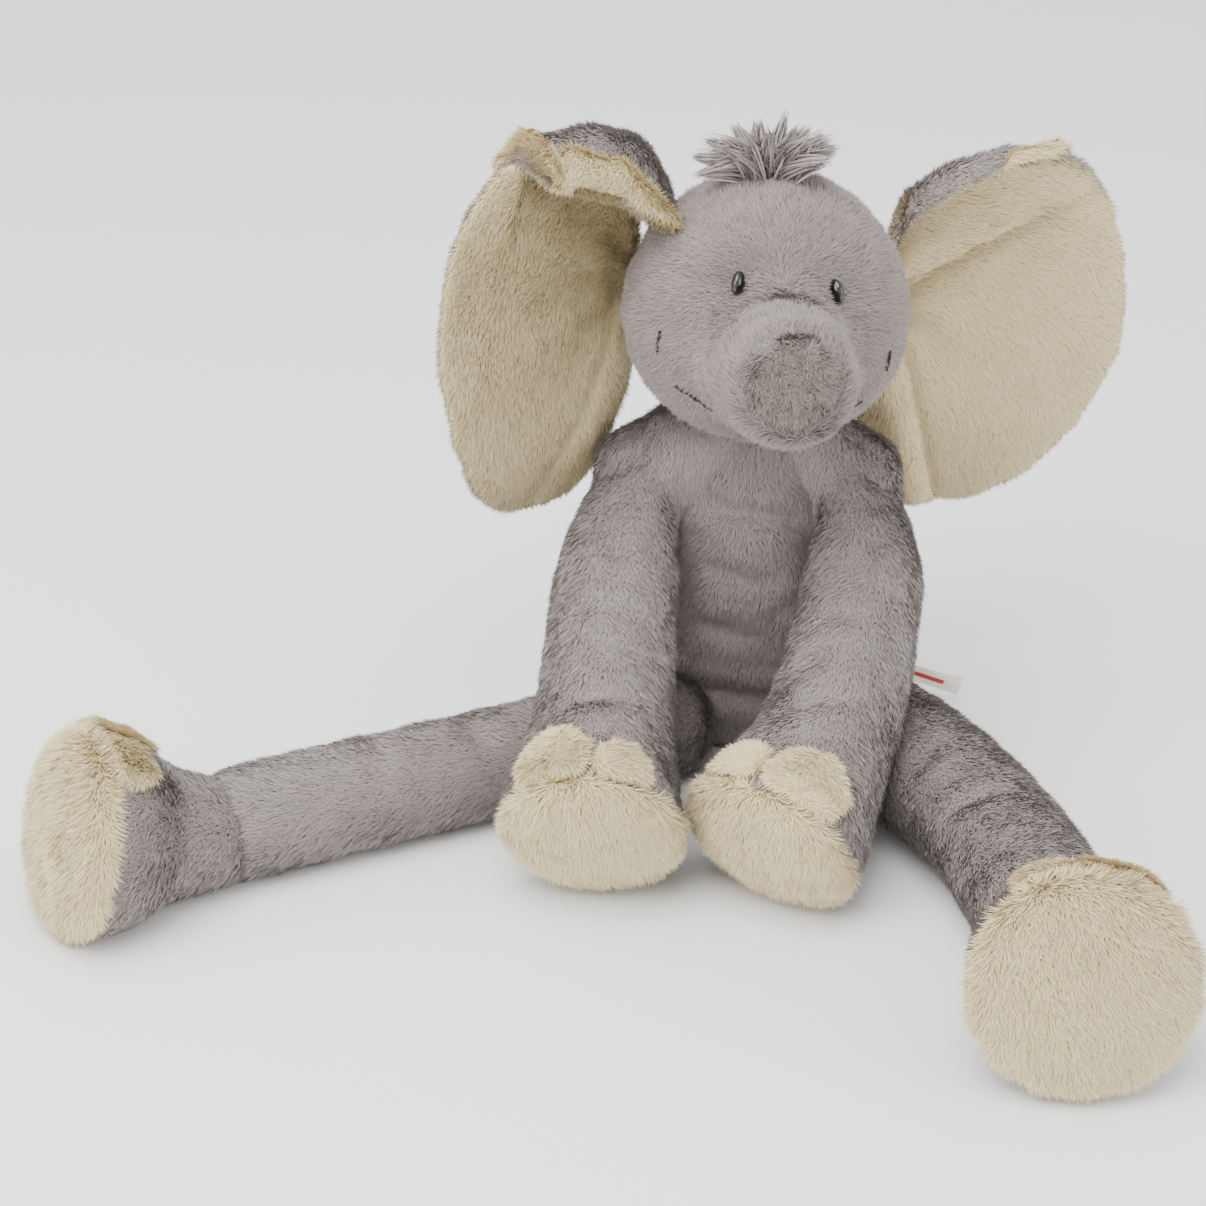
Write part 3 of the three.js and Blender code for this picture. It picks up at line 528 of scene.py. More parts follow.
def fold(piece, folds, width=0.004):
    """Presses creases into the cloth, each along the line between two places and so deep."""
    points = points_of(piece.data)
    moved = points.copy()
    for start, end, depth in folds:
        start, along = np.array(start), np.array(end) - np.array(start)
        share = np.clip((points - start) @ along / (along @ along), 0, 1)
        far = np.linalg.norm(points - start - share[:, None] * along, axis=1)
        ends = np.sqrt(np.clip(4 * share * (1 - share), 0, 1))
        swell = 0.45 * np.exp(-(((far - 2.2 * width) / width) ** 2))
        dip = depth * ends * (np.exp(-((far / width) ** 2)) - swell)
        moved -= normals_of(piece.data) * dip[:, None]
    move_points(piece.data, moved)


# Painted shade: the body's pile is drawn darker than the limbs', for the shade that the head and arms cast on it.
SHADED_BODY_ROOT = (0.165, 0.138, 0.129, 1)
SHADED_BODY_TIP = (0.310, 0.275, 0.262, 1)

torso = even_skin("torso", ["torso_cover", "torso_stuffing", "belly_panel"], hulls=True, softening=12)
settle_cloth(torso, 3, 0.05, 0.006)
fold(torso, TORSO_FOLDS)
sew_seam(torso, ["torso_cover"], ["belly_panel"])
comb(torso, lambda p: Vector((0, 0, -1)))
# This finish is the body's pile with painted shade.
FINISHES["shaded_body_pile"] = (pile_material("shaded_body_pile", SHADED_BODY_ROOT, SHADED_BODY_TIP, 70), GREY_BACKING)
torso_pile = grow_pile("torso_pile", torso, "shaded_body_pile", 1, Density=3.6e6, Width=1.15 * PILE_WIDTH)
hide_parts("torso_cover", "belly_panel", "torso_stuffing", "seat_pellet_pouch")
dress(torso, "grey_pile", "torso")
attach(torso_pile, "torso")

# ---------------------------------------------------------------- arms
# Each arm is a long soft tube that widens to a paw. A cream sole closes the paw, with a big and a small toenail
# patch above it.
ARM_BEND = 0.032
NAIL_CELL = 0.0016
SOLE_CELL = 0.0024
SOLE_PILE = 0.0050
NAIL_PILE = 0.0038
ELBOW_FOLD = 0.0020
YOKE = ((0.013, -0.012, 0.128, 0.0175), (0.026, -0.010, 0.092, 0.0130))
SHOULDER_DROOP = Vector((0.0065, 0, 0.0060))
SHOULDER_REACH = 0.045


def joint_place(name):
    joint = next(j for j in frame["joints"] if j["name"] == name)
    return Vector(joint["pos_m"])


def middle_of(node):
    low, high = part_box(node)
    return (low + high) / 2


def bare_under(skin, own, others, reach):
    """Grows no pile where other pieces lie on this skin."""
    points = points_of(skin.data)
    covered = distances(points, tree_of(others)) < np.minimum(distances(points, tree_of(own)) + 0.001, reach)
    cover = skin.data.attributes.new("cover", "FLOAT", "POINT")
    cover.data.foreach_set("value", np.where(covered, 0.0, 1.0))


def cream_patch(name, node, body, cell, seed, towards, **changes):
    """A sole or toenail: a puffed patch of cream cloth with its pile."""
    patch = even_skin(name, [node], hulls="sole" in node, cell=cell, softening=3)
    comb(patch, towards)
    pile = grow_pile(name + "_pile", patch, "cream_pile", seed, **changes)
    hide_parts(node)
    dress(patch, "cream_pile", body)
    attach(pile, body)


def limb_end(kind, side, body, seed):
    """The sole and the two toenails of one paw or foot."""
    sole = f"{kind}_sole_{side}"
    swing = middle_of(sole) - middle_of(f"{kind}_big_toenail_{side}")
    cream_patch(f"{kind}_{side}_sole", sole, body, SOLE_CELL, seed, lambda p: Vector((0.3, 0, -1)),
                Length=SOLE_PILE, Lift=0.75, Swirl=1.2)
    for number, size in enumerate(("big", "small")):
        cream_patch(f"{kind}_{side}_{size}_toenail", f"{kind}_{size}_toenail_{side}", body, NAIL_CELL,
                    seed + 1 + number, lambda p: swing, Length=NAIL_PILE, Density=9e6)


for side in ("left", "right"):
    shoulder = joint_place(f"arm_swing_{side}")
    paw = middle_of(f"paw_sole_{side}")
    along = (paw - shoulder).normalized()
    own = [f"arm_cover_{side}"]
    inside = [f"arm_stuffing_{side}", f"paw_pellet_pouch_{side}"]
    ends = [f"paw_sole_{side}", f"paw_big_toenail_{side}", f"paw_small_toenail_{side}"]
    outwards = 1 if side == "left" else -1
    yoke = bmesh.new()
    for x, y, z, size in (*YOKE, (outwards * shoulder.x, shoulder.y, shoulder.z - 0.002, 0.0150)):
        place = Matrix.Translation((outwards * x, y, z))
        bmesh.ops.create_icosphere(yoke, subdivisions=3, radius=size, matrix=place)
    spare = bmesh.ops.convex_hull(yoke, input=yoke.verts)
    spare = {x for x in spare["geom_interior"] + spare["geom_unused"] if isinstance(x, bmesh.types.BMVert)}
    bmesh.ops.delete(yoke, geom=list(spare), context="VERTS")
    yoke_shape = bpy.data.meshes.new("yoke")
    yoke.to_mesh(yoke_shape)
    yoke.free()
    arm = even_skin(f"arm_{side}", own + inside, softening=14, more=yoke_shape)
    settle_cloth(arm, 3, 0.06, 0.005)
    points = points_of(arm.data)
    from_shoulder = (points - np.array(shoulder)) @ np.array(along)
    droop = np.clip(1 - np.abs(from_shoulder) / SHOULDER_REACH, 0, 1) ** 1.5
    droop *= np.clip((outwards * (points[:, 0] - shoulder.x) + 0.012) / 0.02, 0, 1)
    points -= droop[:, None] * np.array((outwards * SHOULDER_DROOP.x, 0, SHOULDER_DROOP.z))
    move_points(arm.data, points)
    across = Vector((1, 0, 0))
    crook = shoulder + (paw - shoulder) * 0.42 + Vector((0, -0.012, 0.018))
    wrist = shoulder + (paw - shoulder) * 0.68 + Vector((0, -0.012, 0.018))
    fold(arm, [
        (crook - 0.020 * across, crook + 0.014 * across + 0.006 * along, ELBOW_FOLD),
        (wrist - 0.012 * across + 0.004 * along, wrist + 0.022 * across, ELBOW_FOLD),
    ])
    bare_under(arm, own, ends, 0.0045)
    comb(arm, lambda p: along)
    arm_pile = grow_pile(f"arm_{side}_pile", arm, "grey_pile", 11)
    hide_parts(*own, *inside)
    bend = {"start": shoulder, "end": shoulder + along * ARM_BEND}
    dress(arm, "grey_pile", ("torso", f"arm_{side}"), **bend)
    attach(arm_pile, ("torso", f"arm_{side}"), **bend)
    limb_end("paw", side, f"arm_{side}", 20)

# ---------------------------------------------------------------- legs and feet
# The legs lie out along the floor. Each is a plain soft tube with a seam round its ankle, and the foot beyond it
# widens to a large round cream sole that is weighted with pellets, with two toenail patches on its top.
HIP_BEND = 0.035
KNEE_FOLD = 0.0013

for side in ("left", "right"):
    hip = joint_place(f"leg_splay_{side}")
    ankle = joint_place(f"foot_tilt_{side}")
    start_along = (middle_of(f"leg_cover_{side}") - hip).normalized()
    along = (ankle - hip).normalized()
    own = [f"leg_cover_{side}", f"leg_stuffing_{side}"]
    leg = even_skin(f"leg_{side}", own)
    settle_cloth(leg, 3, 0.05, 0.005)
    across = along.cross(Vector((0, 0, 1)))
    top = middle_of(f"leg_cover_{side}") + Vector((0, 0, 0.018))
    fold(leg, [
        (top - 0.016 * across - 0.010 * along, top + 0.018 * across, KNEE_FOLD),
        (top - 0.012 * across + 0.036 * along, top + 0.016 * across + 0.026 * along, KNEE_FOLD),
    ])
    comb(leg, lambda p: along)
    leg_pile = grow_pile(f"leg_{side}_pile", leg, "grey_pile", 31)
    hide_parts(*own)
    bend = {"start": hip, "end": hip + start_along * HIP_BEND}
    dress(leg, "grey_pile", ("torso", f"leg_{side}"), **bend)
    attach(leg_pile, ("torso", f"leg_{side}"), **bend)

    own = [f"foot_cover_{side}"]
    inside = [f"foot_stuffing_{side}", f"foot_pellet_pouch_{side}"]
    ends = [f"foot_sole_{side}", f"foot_big_toenail_{side}", f"foot_small_toenail_{side}"]
    foot = even_skin(f"foot_{side}", own + inside)
    bare_under(foot, own, ends, 0.0045)
    comb(foot, lambda p: along)
    foot_pile = grow_pile(f"foot_{side}_pile", foot, "grey_pile", 41)
    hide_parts(*own, *inside)
    dress(foot, "grey_pile", f"foot_{side}")
    attach(foot_pile, f"foot_{side}")
    limb_end("foot", side, f"foot_{side}", 50)

# ---------------------------------------------------------------- head and trunk
# The head is a firm ball that is a little wider below, and the trunk grows out of it between the eyes without a
# seam. The trunk ends in a flat round patch of short curly pile. The face's pile is combed away from the brow.
TRUNK_BEND_START = 0.008
TRUNK_BEND_END = 0.030
MUZZLE_FLARE = 0.42
MUZZLE_LENGTH = 0.038
EYE_HOLLOW = 0.0040
EYE_HOLLOW_WIDTH = 0.009
BROW_FOLD = 0.0011
PATCH_SHARE = 0.74
PATCH_OUT = 0.0016
PATCH_UP = 0.0035
# The root colours below are darker than the tips as painted shade at the bottom of the pile.
FACE_TIP = (0.275, 0.238, 0.225, 1)
FACE_SHADED_ROOT = (0.130, 0.106, 0.098, 1)
END_TIP = (0.235, 0.212, 0.185, 1)
END_SHADED_ROOT = (0.120, 0.104, 0.090, 1)

trunk_root = joint_place("trunk_bend")
trunk_end = middle_of("trunk_end_patch")
trunk_along = (trunk_end - trunk_root).normalized()
head_middle = middle_of("head_cover")
brow = (middle_of("eye_left") + middle_of("eye_right")) / 2
brow = head_middle + (brow - head_middle).normalized() * 0.052

muzzle = bmesh.new()
muzzle.from_mesh(frame["nodes"]["trunk_cover"].data)
muzzle.from_mesh(frame["nodes"]["trunk_end_patch"].data)
for vertex in muzzle.verts:
    from_root = vertex.co - trunk_root
    along = from_root.dot(trunk_along)
    aside = from_root - along * trunk_along
    flare = MUZZLE_FLARE * max(0.0, 1 - max(0.0, along) / MUZZLE_LENGTH)
    vertex.co += aside * flare * (1.0 if aside.z < 0 else 0.35)
hull = bmesh.ops.convex_hull(muzzle, input=muzzle.verts)
spare = {x for x in hull["geom_interior"] + hull["geom_unused"] if isinstance(x, bmesh.types.BMVert)}
bmesh.ops.delete(muzzle, geom=list(spare), context="VERTS")
muzzle_shape = bpy.data.meshes.new("muzzle")
muzzle.to_mesh(muzzle_shape)
muzzle.free()
head = even_skin("head", ["head_cover"], hulls=True, softening=20, more=muzzle_shape)

points = points_of(head.data)
inwards = normals_of(head.data)
cover = np.ones(len(points))
eyes = {}
for side in ("left", "right"):
    toward_eye = (middle_of(f"eye_{side}") - head_middle).normalized()
    verts = frame["nodes"][f"eye_{side}"].data.vertices
    eyes[side] = (toward_eye, max((v.co - head_middle).dot(toward_eye) for v in verts))
    seat = head_middle + toward_eye * (eyes[side][1] - 0.003)
    far = np.linalg.norm(points - np.array(seat), axis=1)
    points -= inwards * (EYE_HOLLOW * np.exp(-((far / EYE_HOLLOW_WIDTH) ** 2)))[:, None]
    cover = np.minimum(cover, np.clip((far - 0.0028) / 0.0015, 0, 1))
patch_middle = np.array(trunk_end + PATCH_UP * (Vector((0, 0, 1)) - trunk_along * trunk_along.z).normalized())
end_far = (points - patch_middle) @ np.array(trunk_along)
end_aside = np.linalg.norm(points - patch_middle - end_far[:, None] * np.array(trunk_along), axis=1)
rim = PATCH_SHARE * 0.0205
on_end = end_far > -0.006
groove = np.where(on_end, np.exp(-(((end_aside - rim) / 0.0022) ** 2)), 0)
points -= inwards * (0.0022 * groove)[:, None]
cover = np.where(on_end & (end_aside < rim - 0.001), 0, cover)
move_points(head.data, points)
sideways = (middle_of("eye_left") - middle_of("eye_right")).normalized()
fold(head, [(brow - sideways * 0.017 + Vector((0, 0, 0.004)), brow + sideways * 0.017 + Vector((0, 0, 0.004)),
             BROW_FOLD)], width=0.012)
thin = head.data.attributes.new("cover", "FLOAT", "POINT")
thin.data.foreach_set("value", cover)


def away_from_brow(place):
    """Up and outwards over the face, and along the trunk towards its end."""
    out = place - brow
    along = (place - trunk_root).dot(trunk_along)
    share = min(1.0, max(0.0, (along - 0.012) / 0.02))
    return out.normalized() * (1 - share) + (Vector((0, 0, 0.7)) - trunk_along) * share


comb(head, away_from_brow)
FINISHES["face_pile"] = (pile_material("face_pile", FACE_SHADED_ROOT, FACE_TIP, 95, 0.30), GREY_BACKING)
head_pile = grow_pile("head_pile", head, "face_pile", 61, Swirl=2.0, Lift=0.6)
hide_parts("head_cover", "head_stuffing", "trunk_cover", "trunk_stuffing")
bend = {"start": trunk_root + trunk_along * TRUNK_BEND_START, "end": trunk_root + trunk_along * TRUNK_BEND_END}
dress(head, "grey_pile", ("head", "trunk"), **bend)
attach(head_pile, ("head", "trunk"), **bend)

FINISHES["grey_curls"] = (pile_material("grey_curls", END_SHADED_ROOT, END_TIP, 260, 0.5), GREY_BACKING)
patch = even_skin("trunk_end", ["trunk_end_patch"], hulls=True, cell=0.0018, softening=3)
points = points_of(patch.data)
along = (points - np.array(trunk_end)) @ np.array(trunk_along)
aside = points - np.array(trunk_end) - along[:, None] * np.array(trunk_along)
shift = patch_middle - np.array(trunk_end) + PATCH_OUT * np.array(trunk_along)
move_points(patch.data, points - (1 - PATCH_SHARE) * aside + shift)
comb(patch, lambda p: Vector((0.2, 0, -1)))
curls = grow_pile("trunk_end_pile", patch, "grey_curls", 71, Swirl=6.0, Lift=0.8, Length=0.0028, Density=8e6,
                  **{"Swirl Size": 160.0})
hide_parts("trunk_end_patch")
dress(patch, "grey_curls", "trunk")
attach(curls, "trunk")

# ---------------------------------------------------------------- eyes
# Two glossy black beads, each on a shank that a white washer grips inside the head. They sit in hollows of the
# pile, so that little more than a tall slit of each shows.
EYE_RADIUS = 0.0046
EYE_OUT = 0.0008
EYE_SHAPE = (0.52, 0.8, 1.0)
SHANK = (0.0014, 0.008)

bead_plastic = plain_material("bead_plastic", (0.006, 0.006, 0.007, 1), 0.12)
bead_plastic.node_tree.nodes["Principled BSDF"].inputs["Coat Weight"].default_value = 0.6
washer_plastic = plain_material("washer_plastic", (0.78, 0.77, 0.74, 1), 0.45)
for side in ("left", "right"):
    toward_eye, reach = eyes[side]
    level = Vector((0, 0, 1)).cross(toward_eye).normalized()
    upright = toward_eye.cross(level)
    turn = Matrix((level, toward_eye, upright)).transposed().to_4x4()
    bead = bmesh.new()
    bmesh.ops.create_uvsphere(bead, u_segments=32, v_segments=20, radius=EYE_RADIUS)
    bead.transform(Matrix.Diagonal((*EYE_SHAPE, 1)))
    stem = Matrix.Translation((0, -SHANK[1] / 2, 0)) @ Matrix.Rotation(math.pi / 2, 4, "X")
    bmesh.ops.create_cone(bead, cap_ends=True, segments=16, radius1=SHANK[0], radius2=SHANK[0], depth=SHANK[1],
                          matrix=stem)
    place = head_middle + toward_eye * (reach - EYE_RADIUS * EYE_SHAPE[1] + EYE_OUT - 0.003)
    bead.transform(Matrix.Translation(place) @ turn)
    mesh = bpy.data.meshes.new(f"eye_bead_{side}")
    bead.to_mesh(mesh)
    bead.free()
    mesh.polygons.foreach_set("use_smooth", [True] * len(mesh.polygons))
    mesh.materials.append(bead_plastic)
    eye = linked(f"eye_bead_{side}", mesh)
    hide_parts(f"eye_{side}")
    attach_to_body(eye, "head")
    washer = frame["nodes"][f"eye_washer_{side}"]
    washer.data.materials.clear()
    washer.data.materials.append(washer_plastic)

# ---------------------------------------------------------------- embroidered marks
# A line each side of the trunk makes the mouth, and a short upright stitch marks each cheek. Each is two plies
# of dark thread twisted together, pulled down into the pile.
PLY_RADIUS = 0.00034
PLY_TURNS = 9
STITCH_STEPS = 60

thread = plain_material("thread", (0.020, 0.018, 0.019, 1), 0.7)


def tube(whole, path, radius, sides=6):
    """A round closed tube along a line of points."""
    rings = []
    for i, at in enumerate(path):
        along = (path[min(i + 1, len(path) - 1)] - path[max(i - 1, 0)]).normalized()
        side = along.orthogonal().normalized() if i == 0 else (side - along * side.dot(along)).normalized()
        up = along.cross(side)
        angles = [2 * math.pi * k / sides for k in range(sides)]
        rings.append([whole.verts.new(at + radius * (math.cos(a) * side + math.sin(a) * up)) for a in angles])
    for one, two in zip(rings, rings[1:]):
        for k in range(sides):
            whole.faces.new([one[k], one[(k + 1) % sides], two[(k + 1) % sides], two[k]])
    whole.faces.new(rings[0][::-1])
    whole.faces.new(rings[-1])


for node in ("mouth_stitch_left", "mouth_stitch_right", "cheek_stitch_left", "cheek_stitch_right"):
    verts = np.array([v.co for v in frame["nodes"][node].data.vertices])
    middle = verts.mean(0)
    main = Vector(np.linalg.svd(verts - middle)[2][0])
    order = np.argsort((verts - middle) @ np.array(main))
    line = [Vector(chunk.mean(0)) for chunk in np.array_split(verts[order], 7)]
    out = (Vector(middle) - head_middle).normalized()
    aside = main.cross(out).normalized()
    whole = bmesh.new()
    for ply in (0, math.pi):
        path = []
        for i in range(STITCH_STEPS + 1):
            t = i / STITCH_STEPS * (len(line) - 1)
            k = min(int(t), len(line) - 2)
            at = line[k].lerp(line[k + 1], t - k) - out * 0.0010
            a = ply + 2 * math.pi * PLY_TURNS * i / STITCH_STEPS * (1.0 if "mouth" in node else 0.55)
            path.append(at + PLY_RADIUS * (math.cos(a) * out + math.sin(a) * aside))
        tube(whole, path, PLY_RADIUS)
    mesh = bpy.data.meshes.new(node + "_thread")
    whole.to_mesh(mesh)
    whole.free()
    mesh.polygons.foreach_set("use_smooth", [True] * len(mesh.polygons))
    mesh.materials.append(thread)
    stitch = linked(node + "_thread", mesh)
    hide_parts(node)
    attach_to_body(stitch, "head")

# ---------------------------------------------------------------- hair tuft and tail
# A bunch of long pile is sewn into the crown and fans out to the sides and forwards. The tail is a thin stuffed
# roll that ends in a tuft of the same long pile.
LOCKS = 44
LOCK_STRANDS = 90
STRAND_WIDTH = 0.00042
STRAND_STEPS = 6
dice = np.random.default_rng(7)


def long_pile(name, locks, body, node):
    """Locks of long curved strands. Each lock is (root, direction, length, droop)."""
    places, faces, tips, shades = [], [], [], []
    for root, direction, length, droop in locks:
        lock_shade = dice.uniform(0, 0.5)
        for _ in range(LOCK_STRANDS):
            start = root + Vector(dice.normal(0, 0.0024, 3))
            spread = Vector(dice.normal(0, 0.0006, 3)) + (root - start) * 0.8
            reach = length * dice.uniform(0.75, 1.05)
            side = direction.cross(Vector(dice.normal(0, 1, 3))).normalized()
            first = len(places)
            for i in range(STRAND_STEPS + 1):
                t = i / STRAND_STEPS
                at = start + direction * reach * t + spread * t + Vector((0, 0, -droop * length * t * t))
                wide = STRAND_WIDTH * (1 - t ** 3)
                places += [at - side * wide, at + side * wide]
                tips += [0.15 + 0.85 * t] * 2
                shades += [min(1.0, lock_shade + dice.uniform(0, 0.5))] * 2
                if i:
                    k = first + 2 * i
                    faces.append((k - 2, k - 1, k + 1, k))
    mesh = bpy.data.meshes.new(name)
    mesh.from_pydata(places, [], faces)
    for label, values in (("tip", tips), ("shade", shades)):
        mesh.attributes.new(label, "FLOAT", "POINT").data.foreach_set("value", values)
    mesh.polygons.foreach_set("use_smooth", [True] * len(faces))
    piece = linked(name, mesh)
    comb(piece, lambda p: Vector((0, 0, 1)))
    mesh.materials.append(GREY_PILE)
    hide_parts(node)
    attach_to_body(piece, body)


low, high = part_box("hair_tuft")
crown = Vector(((low.x + high.x) / 2, low.y + 0.35 * (high.y - low.y), low.z + 0.0035))
hair = []
for i in range(LOCKS):
    fan = math.radians(-96 + 186 * (i + dice.uniform(-0.5, 1.5)) / LOCKS)
    forwards = dice.uniform(-0.9, 0.5)
    direction = Vector((math.sin(fan), forwards, 0.3 + math.cos(fan))).normalized()
    root = crown + Vector((0.006 * math.sin(fan), 0.004 * forwards, 0))
    hair.append((root, direction, dice.uniform(0.013, 0.026), 0.20))
long_pile("hair_tuft_locks", hair, "head", "hair_tuft")

tail = even_skin("tail", ["tail_cover"], cell=0.0016, softening=4)
tail_root = joint_place("tail_swing")
tail_end = middle_of("tail_tuft")
tail_along = (tail_end - tail_root).normalized()
comb(tail, lambda p: tail_along)
tail_pile = grow_pile("tail_pile", tail, "grey_pile", 91)
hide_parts("tail_cover")
dress(tail, "grey_pile", "tail")
attach(tail_pile, "tail")
low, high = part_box("tail_tuft")
brush_root = tail_end - tail_along * 0.009
brush = []
for i in range(16):
    a = 2 * math.pi * i / 16
    side = tail_along.orthogonal().normalized()
    around = math.cos(a) * side + math.sin(a) * tail_along.cross(side)
    brush.append((brush_root + 0.002 * around, (tail_along + 0.32 * around).normalized(), 0.0165, 0.0))
long_pile("tail_tuft_locks", brush, "tail", "tail_tuft")

# ---------------------------------------------------------------- label
# A short folded ribbon is sewn into the side seam, low down on the toy's left. It carries a small red stitched
# bar.
LABEL_CELLS = (36, 10)
LABEL_WAVE = 0.0008
MARK_FROM = 0.45
MARK_TO = 0.80
low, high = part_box("side_label")
label_root = joint_place("label_flap")
label_end = Vector((high.x, label_root.y, low.z + 0.004))
label_along = label_end - label_root
label_up = Vector((0, 1, 0)).cross(label_along).normalized() * -0.004
ribbon = bmesh.new()
LABEL_THICK = 0.0005


def on_ribbon(along, up, side):
    bow = LABEL_WAVE * math.sin(5.0 * along + 1.5 * up)
    return label_root + label_along * along + label_up * up + Vector((0, bow + side, 0))


def ribbon_sheet(whole, span, rise, front, back, cells):
    grid = {}
    for i in range(cells[0] + 1):
        for k in range(cells[1] + 1):
            along = span[0] + (span[1] - span[0]) * i / cells[0]
            up = rise[0] + (rise[1] - rise[0]) * k / cells[1]
            for layer, side in enumerate((front, back)):
                grid[(i, k, layer)] = whole.verts.new(on_ribbon(along, up, side))
    for i in range(cells[0]):
        for k in range(cells[1]):
            ring = [(i, k), (i + 1, k), (i + 1, k + 1), (i, k + 1)]
            whole.faces.new([grid[(a, b, 0)] for a, b in ring])
            whole.faces.new([grid[(a, b, 1)] for a, b in reversed(ring)])
    border = [(i, 0) for i in range(cells[0])] + [(cells[0], k) for k in range(cells[1])]
    border += [(i, cells[1]) for i in range(cells[0], 0, -1)] + [(0, k) for k in range(cells[1], 0, -1)]
    for (a, b), (c, d) in zip(border, border[1:] + border[:1]):
        whole.faces.new([grid[(a, b, 0)], grid[(a, b, 1)], grid[(c, d, 1)], grid[(c, d, 0)]])
    bmesh.ops.recalc_face_normals(whole, faces=whole.faces)


def woven(name, colour):
    material = plain_material(name, colour, 0.75)
    nodes, links = material.node_tree.nodes, material.node_tree.links
    weave = nodes.new("ShaderNodeTexWave")
    weave.inputs["Scale"].default_value = 500
    weave.inputs["Distortion"].default_value = 2
    links.new(nodes.new("ShaderNodeTexCoord").outputs["Object"], weave.inputs["Vector"])
    bump = nodes.new("ShaderNodeBump")
    bump.inputs["Strength"].default_value = 0.35
    bump.inputs["Distance"].default_value = 0.0003
    links.new(weave.outputs["Fac"], bump.inputs["Height"])
    links.new(bump.outputs["Normal"], nodes["Principled BSDF"].inputs["Normal"])
    return material


for name, span, rise, front, back, cells, colour in (
    ("side_ribbon", (0, 1), (-1, 1), -LABEL_THICK / 2, LABEL_THICK / 2, LABEL_CELLS, (0.80, 0.76, 0.68, 1)),
    ("ribbon_mark", (MARK_FROM, MARK_TO), (-0.25, 0.25), -LABEL_THICK, -LABEL_THICK / 2 - 0.00005, (14, 4),
     (0.45, 0.035, 0.030, 1)),
):
    whole = bmesh.new()
    ribbon_sheet(whole, span, rise, front, back, cells)
    mesh = bpy.data.meshes.new(name)
    whole.to_mesh(mesh)
    whole.free()
    mesh.materials.append(woven(name, colour))
    piece = linked(name, mesh)
    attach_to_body(piece, "label")
    if name == "side_ribbon":
        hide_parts("side_label")

# ---------------------------------------------------------------- ears
# Each ear is two layers of cloth sewn together round the rim: a cream lining in front and grey pile behind. It is
# pleated where it joins the head, so its top rolls forward there and the lining makes a thick lip.
EAR_WIDTH = 0.098
EAR_HEIGHT = 0.157
EAR_LAYER = 0.0034
EAR_CUP = 0.012
EAR_DRAPE = 0.014
EAR_EDGES = (
    (0, 0.24, 0.46), (0.03, 0.15, 0.60), (0.12, 0.09, 0.76), (0.29, 0.03, 0.91), (0.5, 0.00, 1.0),
    (0.62, 0, 0.99), (0.75, 0, 0.94), (0.87, 0.03, 0.84), (0.95, 0.16, 0.72), (1, 0.36, 0.56),
)
EAR_ROLL = {"left": (0.003, 0.0030), "right": (0.024, 0.0065)}
EAR_FOLD_WIDTH = {"left": 0.95, "right": 0.66}
EAR_BULGE = {"left": (0.014, 0.55, 0.46), "right": (0.004, 0.74, 0.10)}
EAR_LEAN = 0.022
EAR_PLEAT = {"left": 0.0060, "right": 0.0025}
EAR_CREASES = 0.0013
EAR_TURN = {"left": (10, 6.5), "right": (40, 1.5)}
EAR_LIP = {"left": 0.002, "right": 0.014}
EAR_PILE = 0.0037
EAR_ACROSS = 40
EAR_UP = 80
LIP_ROWS = 8


def ear_edge(height, column):
    heights = [row[0] for row in EAR_EDGES]
    return float(np.interp(height, heights, [row[column] for row in EAR_EDGES]))


def on_ear(side, i, v, depth):
    """A place on the ear: i across, v of its height, and so far behind its middle layer."""
    strip, radius = EAR_ROLL[side]
    share = ear_edge(v, 1) + (ear_edge(v, 2) - ear_edge(v, 1)) * i / EAR_ACROSS
    x, z = share * EAR_WIDTH, (v - 0.5) * EAR_HEIGHT
    y = -EAR_CUP * share ** 2 + EAR_DRAPE * (1 - min(1, v / 0.4)) ** 2
    fold = strip * max(0.0, 1 - share / EAR_FOLD_WIDTH[side]) ** 0.7
    outline = EAR_HEIGHT * (ear_top(share) - 0.5)
    top = outline - radius * min(1, fold / 0.003)
    z *= 1 + (fold + 2.2 * radius * min(1, fold / 0.003)) / outline if z > 0 else 1
    bulge, crease, climb = EAR_BULGE[side]
    above = (v - crease - climb * share) / 0.26
    near = max(0.0, 1 - share / 0.9)
    if above > 0:
        y -= bulge * near * min(1.0, above * 5) ** 0.6 * math.cos(min(1.0, above) * 1.2)
    y += 0.35 * bulge * near * math.exp(-((above / 0.10) ** 2))
    rise = min(1.0, max(0.0, (v - 0.7) / 0.3))
    y -= EAR_LEAN * rise * rise * (3 - 2 * rise) * near ** 0.8
    line = share - 0.12 - 0.65 * max(0.0, 0.5 - v)
    low = min(1.0, max(0.0, (0.62 - v) * 6))
    y -= low * EAR_PLEAT[side] * math.exp(-(((line + 0.10) / 0.09) ** 2))
    y += low * EAR_PLEAT[side] * 0.5 * math.exp(-((line / 0.025) ** 2))
    reach = math.hypot(x, z - 0.012)
    y += EAR_CREASES * math.sin(9 * math.atan2(z - 0.012, x + 0.002)) * math.exp(-reach / 0.045)
    out = Vector((0, 1, 0))
    if z > top and fold > 0.0005:
        beyond = z - top
        turn = min(beyond / radius, math.radians(165))
        rest = beyond - turn * radius
        z = top + radius * math.sin(turn) + rest * math.cos(turn)
        y -= radius * (1 - math.cos(turn)) + rest * math.sin(turn)
        out = Vector((0, math.cos(turn), math.sin(turn)))
    at = Vector((x, y, z)) + out * depth
    return Vector((at.x if side == "left" else -at.x, at.y, at.z))


def ear_top(share):
    """How high the ear's outline is at this share of its width."""
    rows = EAR_EDGES[6:]
    rising = np.interp(share, [row[1] for row in rows], [row[0] for row in rows])
    falling = np.interp(share, [row[2] for row in EAR_EDGES[:3:-1]], [row[0] for row in EAR_EDGES[:3:-1]])
    return float(min(rising, falling))


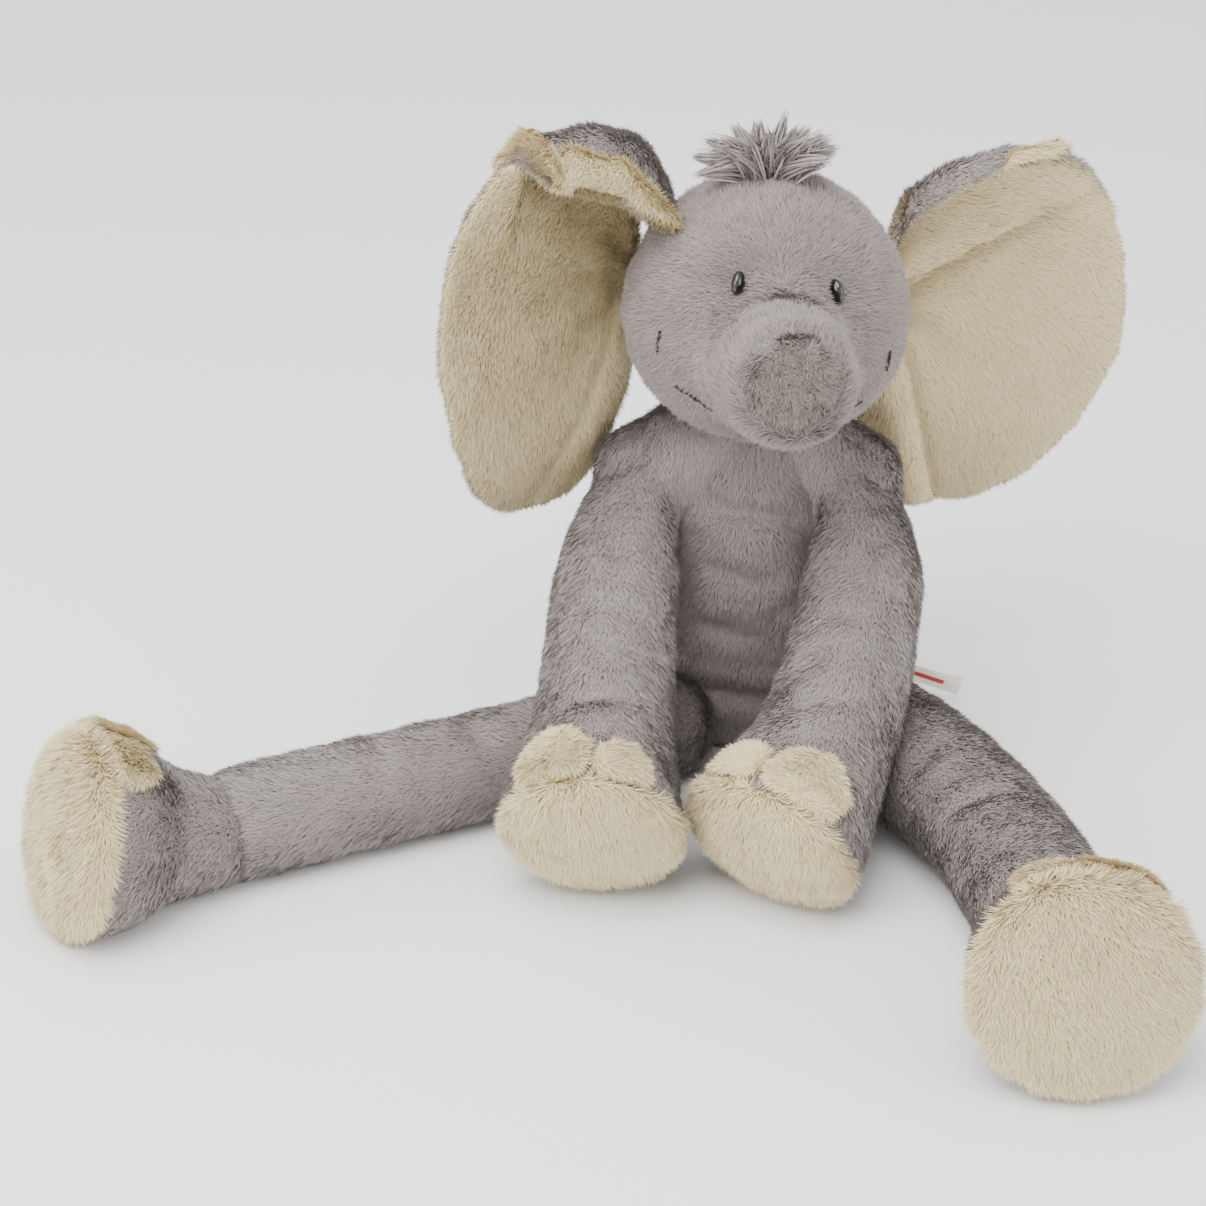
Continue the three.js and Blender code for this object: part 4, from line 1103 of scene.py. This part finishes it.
def ear_sheet(name, side, front):
    """One layer of an ear as a closed sheet. The lining goes on past the top edge and wraps over it."""
    rows = EAR_UP + (LIP_ROWS if front else 0)
    sheet = bmesh.new()
    grid = {}
    for k in range(rows + 1):
        for i in range(EAR_ACROSS + 1):
            v = min(k, EAR_UP) / EAR_UP
            share = ear_edge(v, 1) + (ear_edge(v, 2) - ear_edge(v, 1)) * i / EAR_ACROSS
            rim = min(1.0, 5 * min(i / EAR_ACROSS, 1 - i / EAR_ACROSS, v, 1 - v + (0.2 if front else 0))) ** 0.5
            thick = EAR_LAYER * (0.2 + 0.8 * rim)
            wrap = (k - EAR_UP) / LIP_ROWS if k > EAR_UP else 0
            if wrap:
                lip = EAR_LIP[side] * max(0.0, 1 - share / 0.9) ** 0.5
                v = 1 - wrap * lip / EAR_HEIGHT
                swell = 0.25 * lip * math.sin(math.pi * (0.15 + 0.85 * wrap))
                inner, outer = EAR_LAYER + 0.0012, EAR_LAYER + 0.0028 + swell
            elif front:
                inner, outer = 0, -thick
            else:
                inner, outer = 0.0004, thick
            grid[(i, k, 0)] = sheet.verts.new(on_ear(side, i, v, inner))
            grid[(i, k, 1)] = sheet.verts.new(on_ear(side, i, v, outer))
    for i in range(EAR_ACROSS):
        for k in range(rows):
            ring = [(i, k), (i + 1, k), (i + 1, k + 1), (i, k + 1)]
            sheet.faces.new([grid[(a, b, 0)] for a, b in ring])
            sheet.faces.new([grid[(a, b, 1)] for a, b in reversed(ring)])
    border = [(i, 0) for i in range(EAR_ACROSS)] + [(EAR_ACROSS, k) for k in range(rows)]
    border += [(i, rows) for i in range(EAR_ACROSS, 0, -1)] + [(0, k) for k in range(rows, 0, -1)]
    for (a, b), (c, d) in zip(border, border[1:] + border[:1]):
        sheet.faces.new([grid[(a, b, 0)], grid[(a, b, 1)], grid[(c, d, 1)], grid[(c, d, 0)]])
    bmesh.ops.recalc_face_normals(sheet, faces=sheet.faces)
    if sheet.calc_volume(signed=True) < 0:
        bmesh.ops.reverse_faces(sheet, faces=sheet.faces)
    turn, lean = EAR_TURN[side]
    pose = Matrix.Translation(joint_place(f"ear_flap_{side}")) @ Matrix.Rotation(math.radians(lean), 4, "Y")
    sheet.transform(pose @ Matrix.Rotation(math.radians(turn), 4, "Z"))
    mesh = bpy.data.meshes.new(name)
    sheet.to_mesh(mesh)
    sheet.free()
    mesh.polygons.foreach_set("use_smooth", [True] * len(mesh.polygons))
    return linked(name, mesh)


for side in ("left", "right"):
    outwards = Vector((1 if side == "left" else -1, 0, 0))
    root = joint_place(f"ear_flap_{side}")
    for kind, finish, front in (("lining", "cream_pile", True), ("back", "grey_pile", False)):
        layer = ear_sheet(f"ear_{side}_{kind}", side, front)
        comb(layer, lambda p: (p - root).normalized() + Vector((0, 0, -0.8)))
        layer_pile = grow_pile(f"ear_{side}_{kind}_pile", layer, finish, 81, Length=EAR_PILE, Density=3.6e6)
        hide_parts(f"ear_{kind}_{side}")
        dress(layer, finish, f"ear_{side}")
        attach(layer_pile, f"ear_{side}")

size = {"cad": [list(corner) for corner in cad_box], "visual": [list(corner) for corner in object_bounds()]}
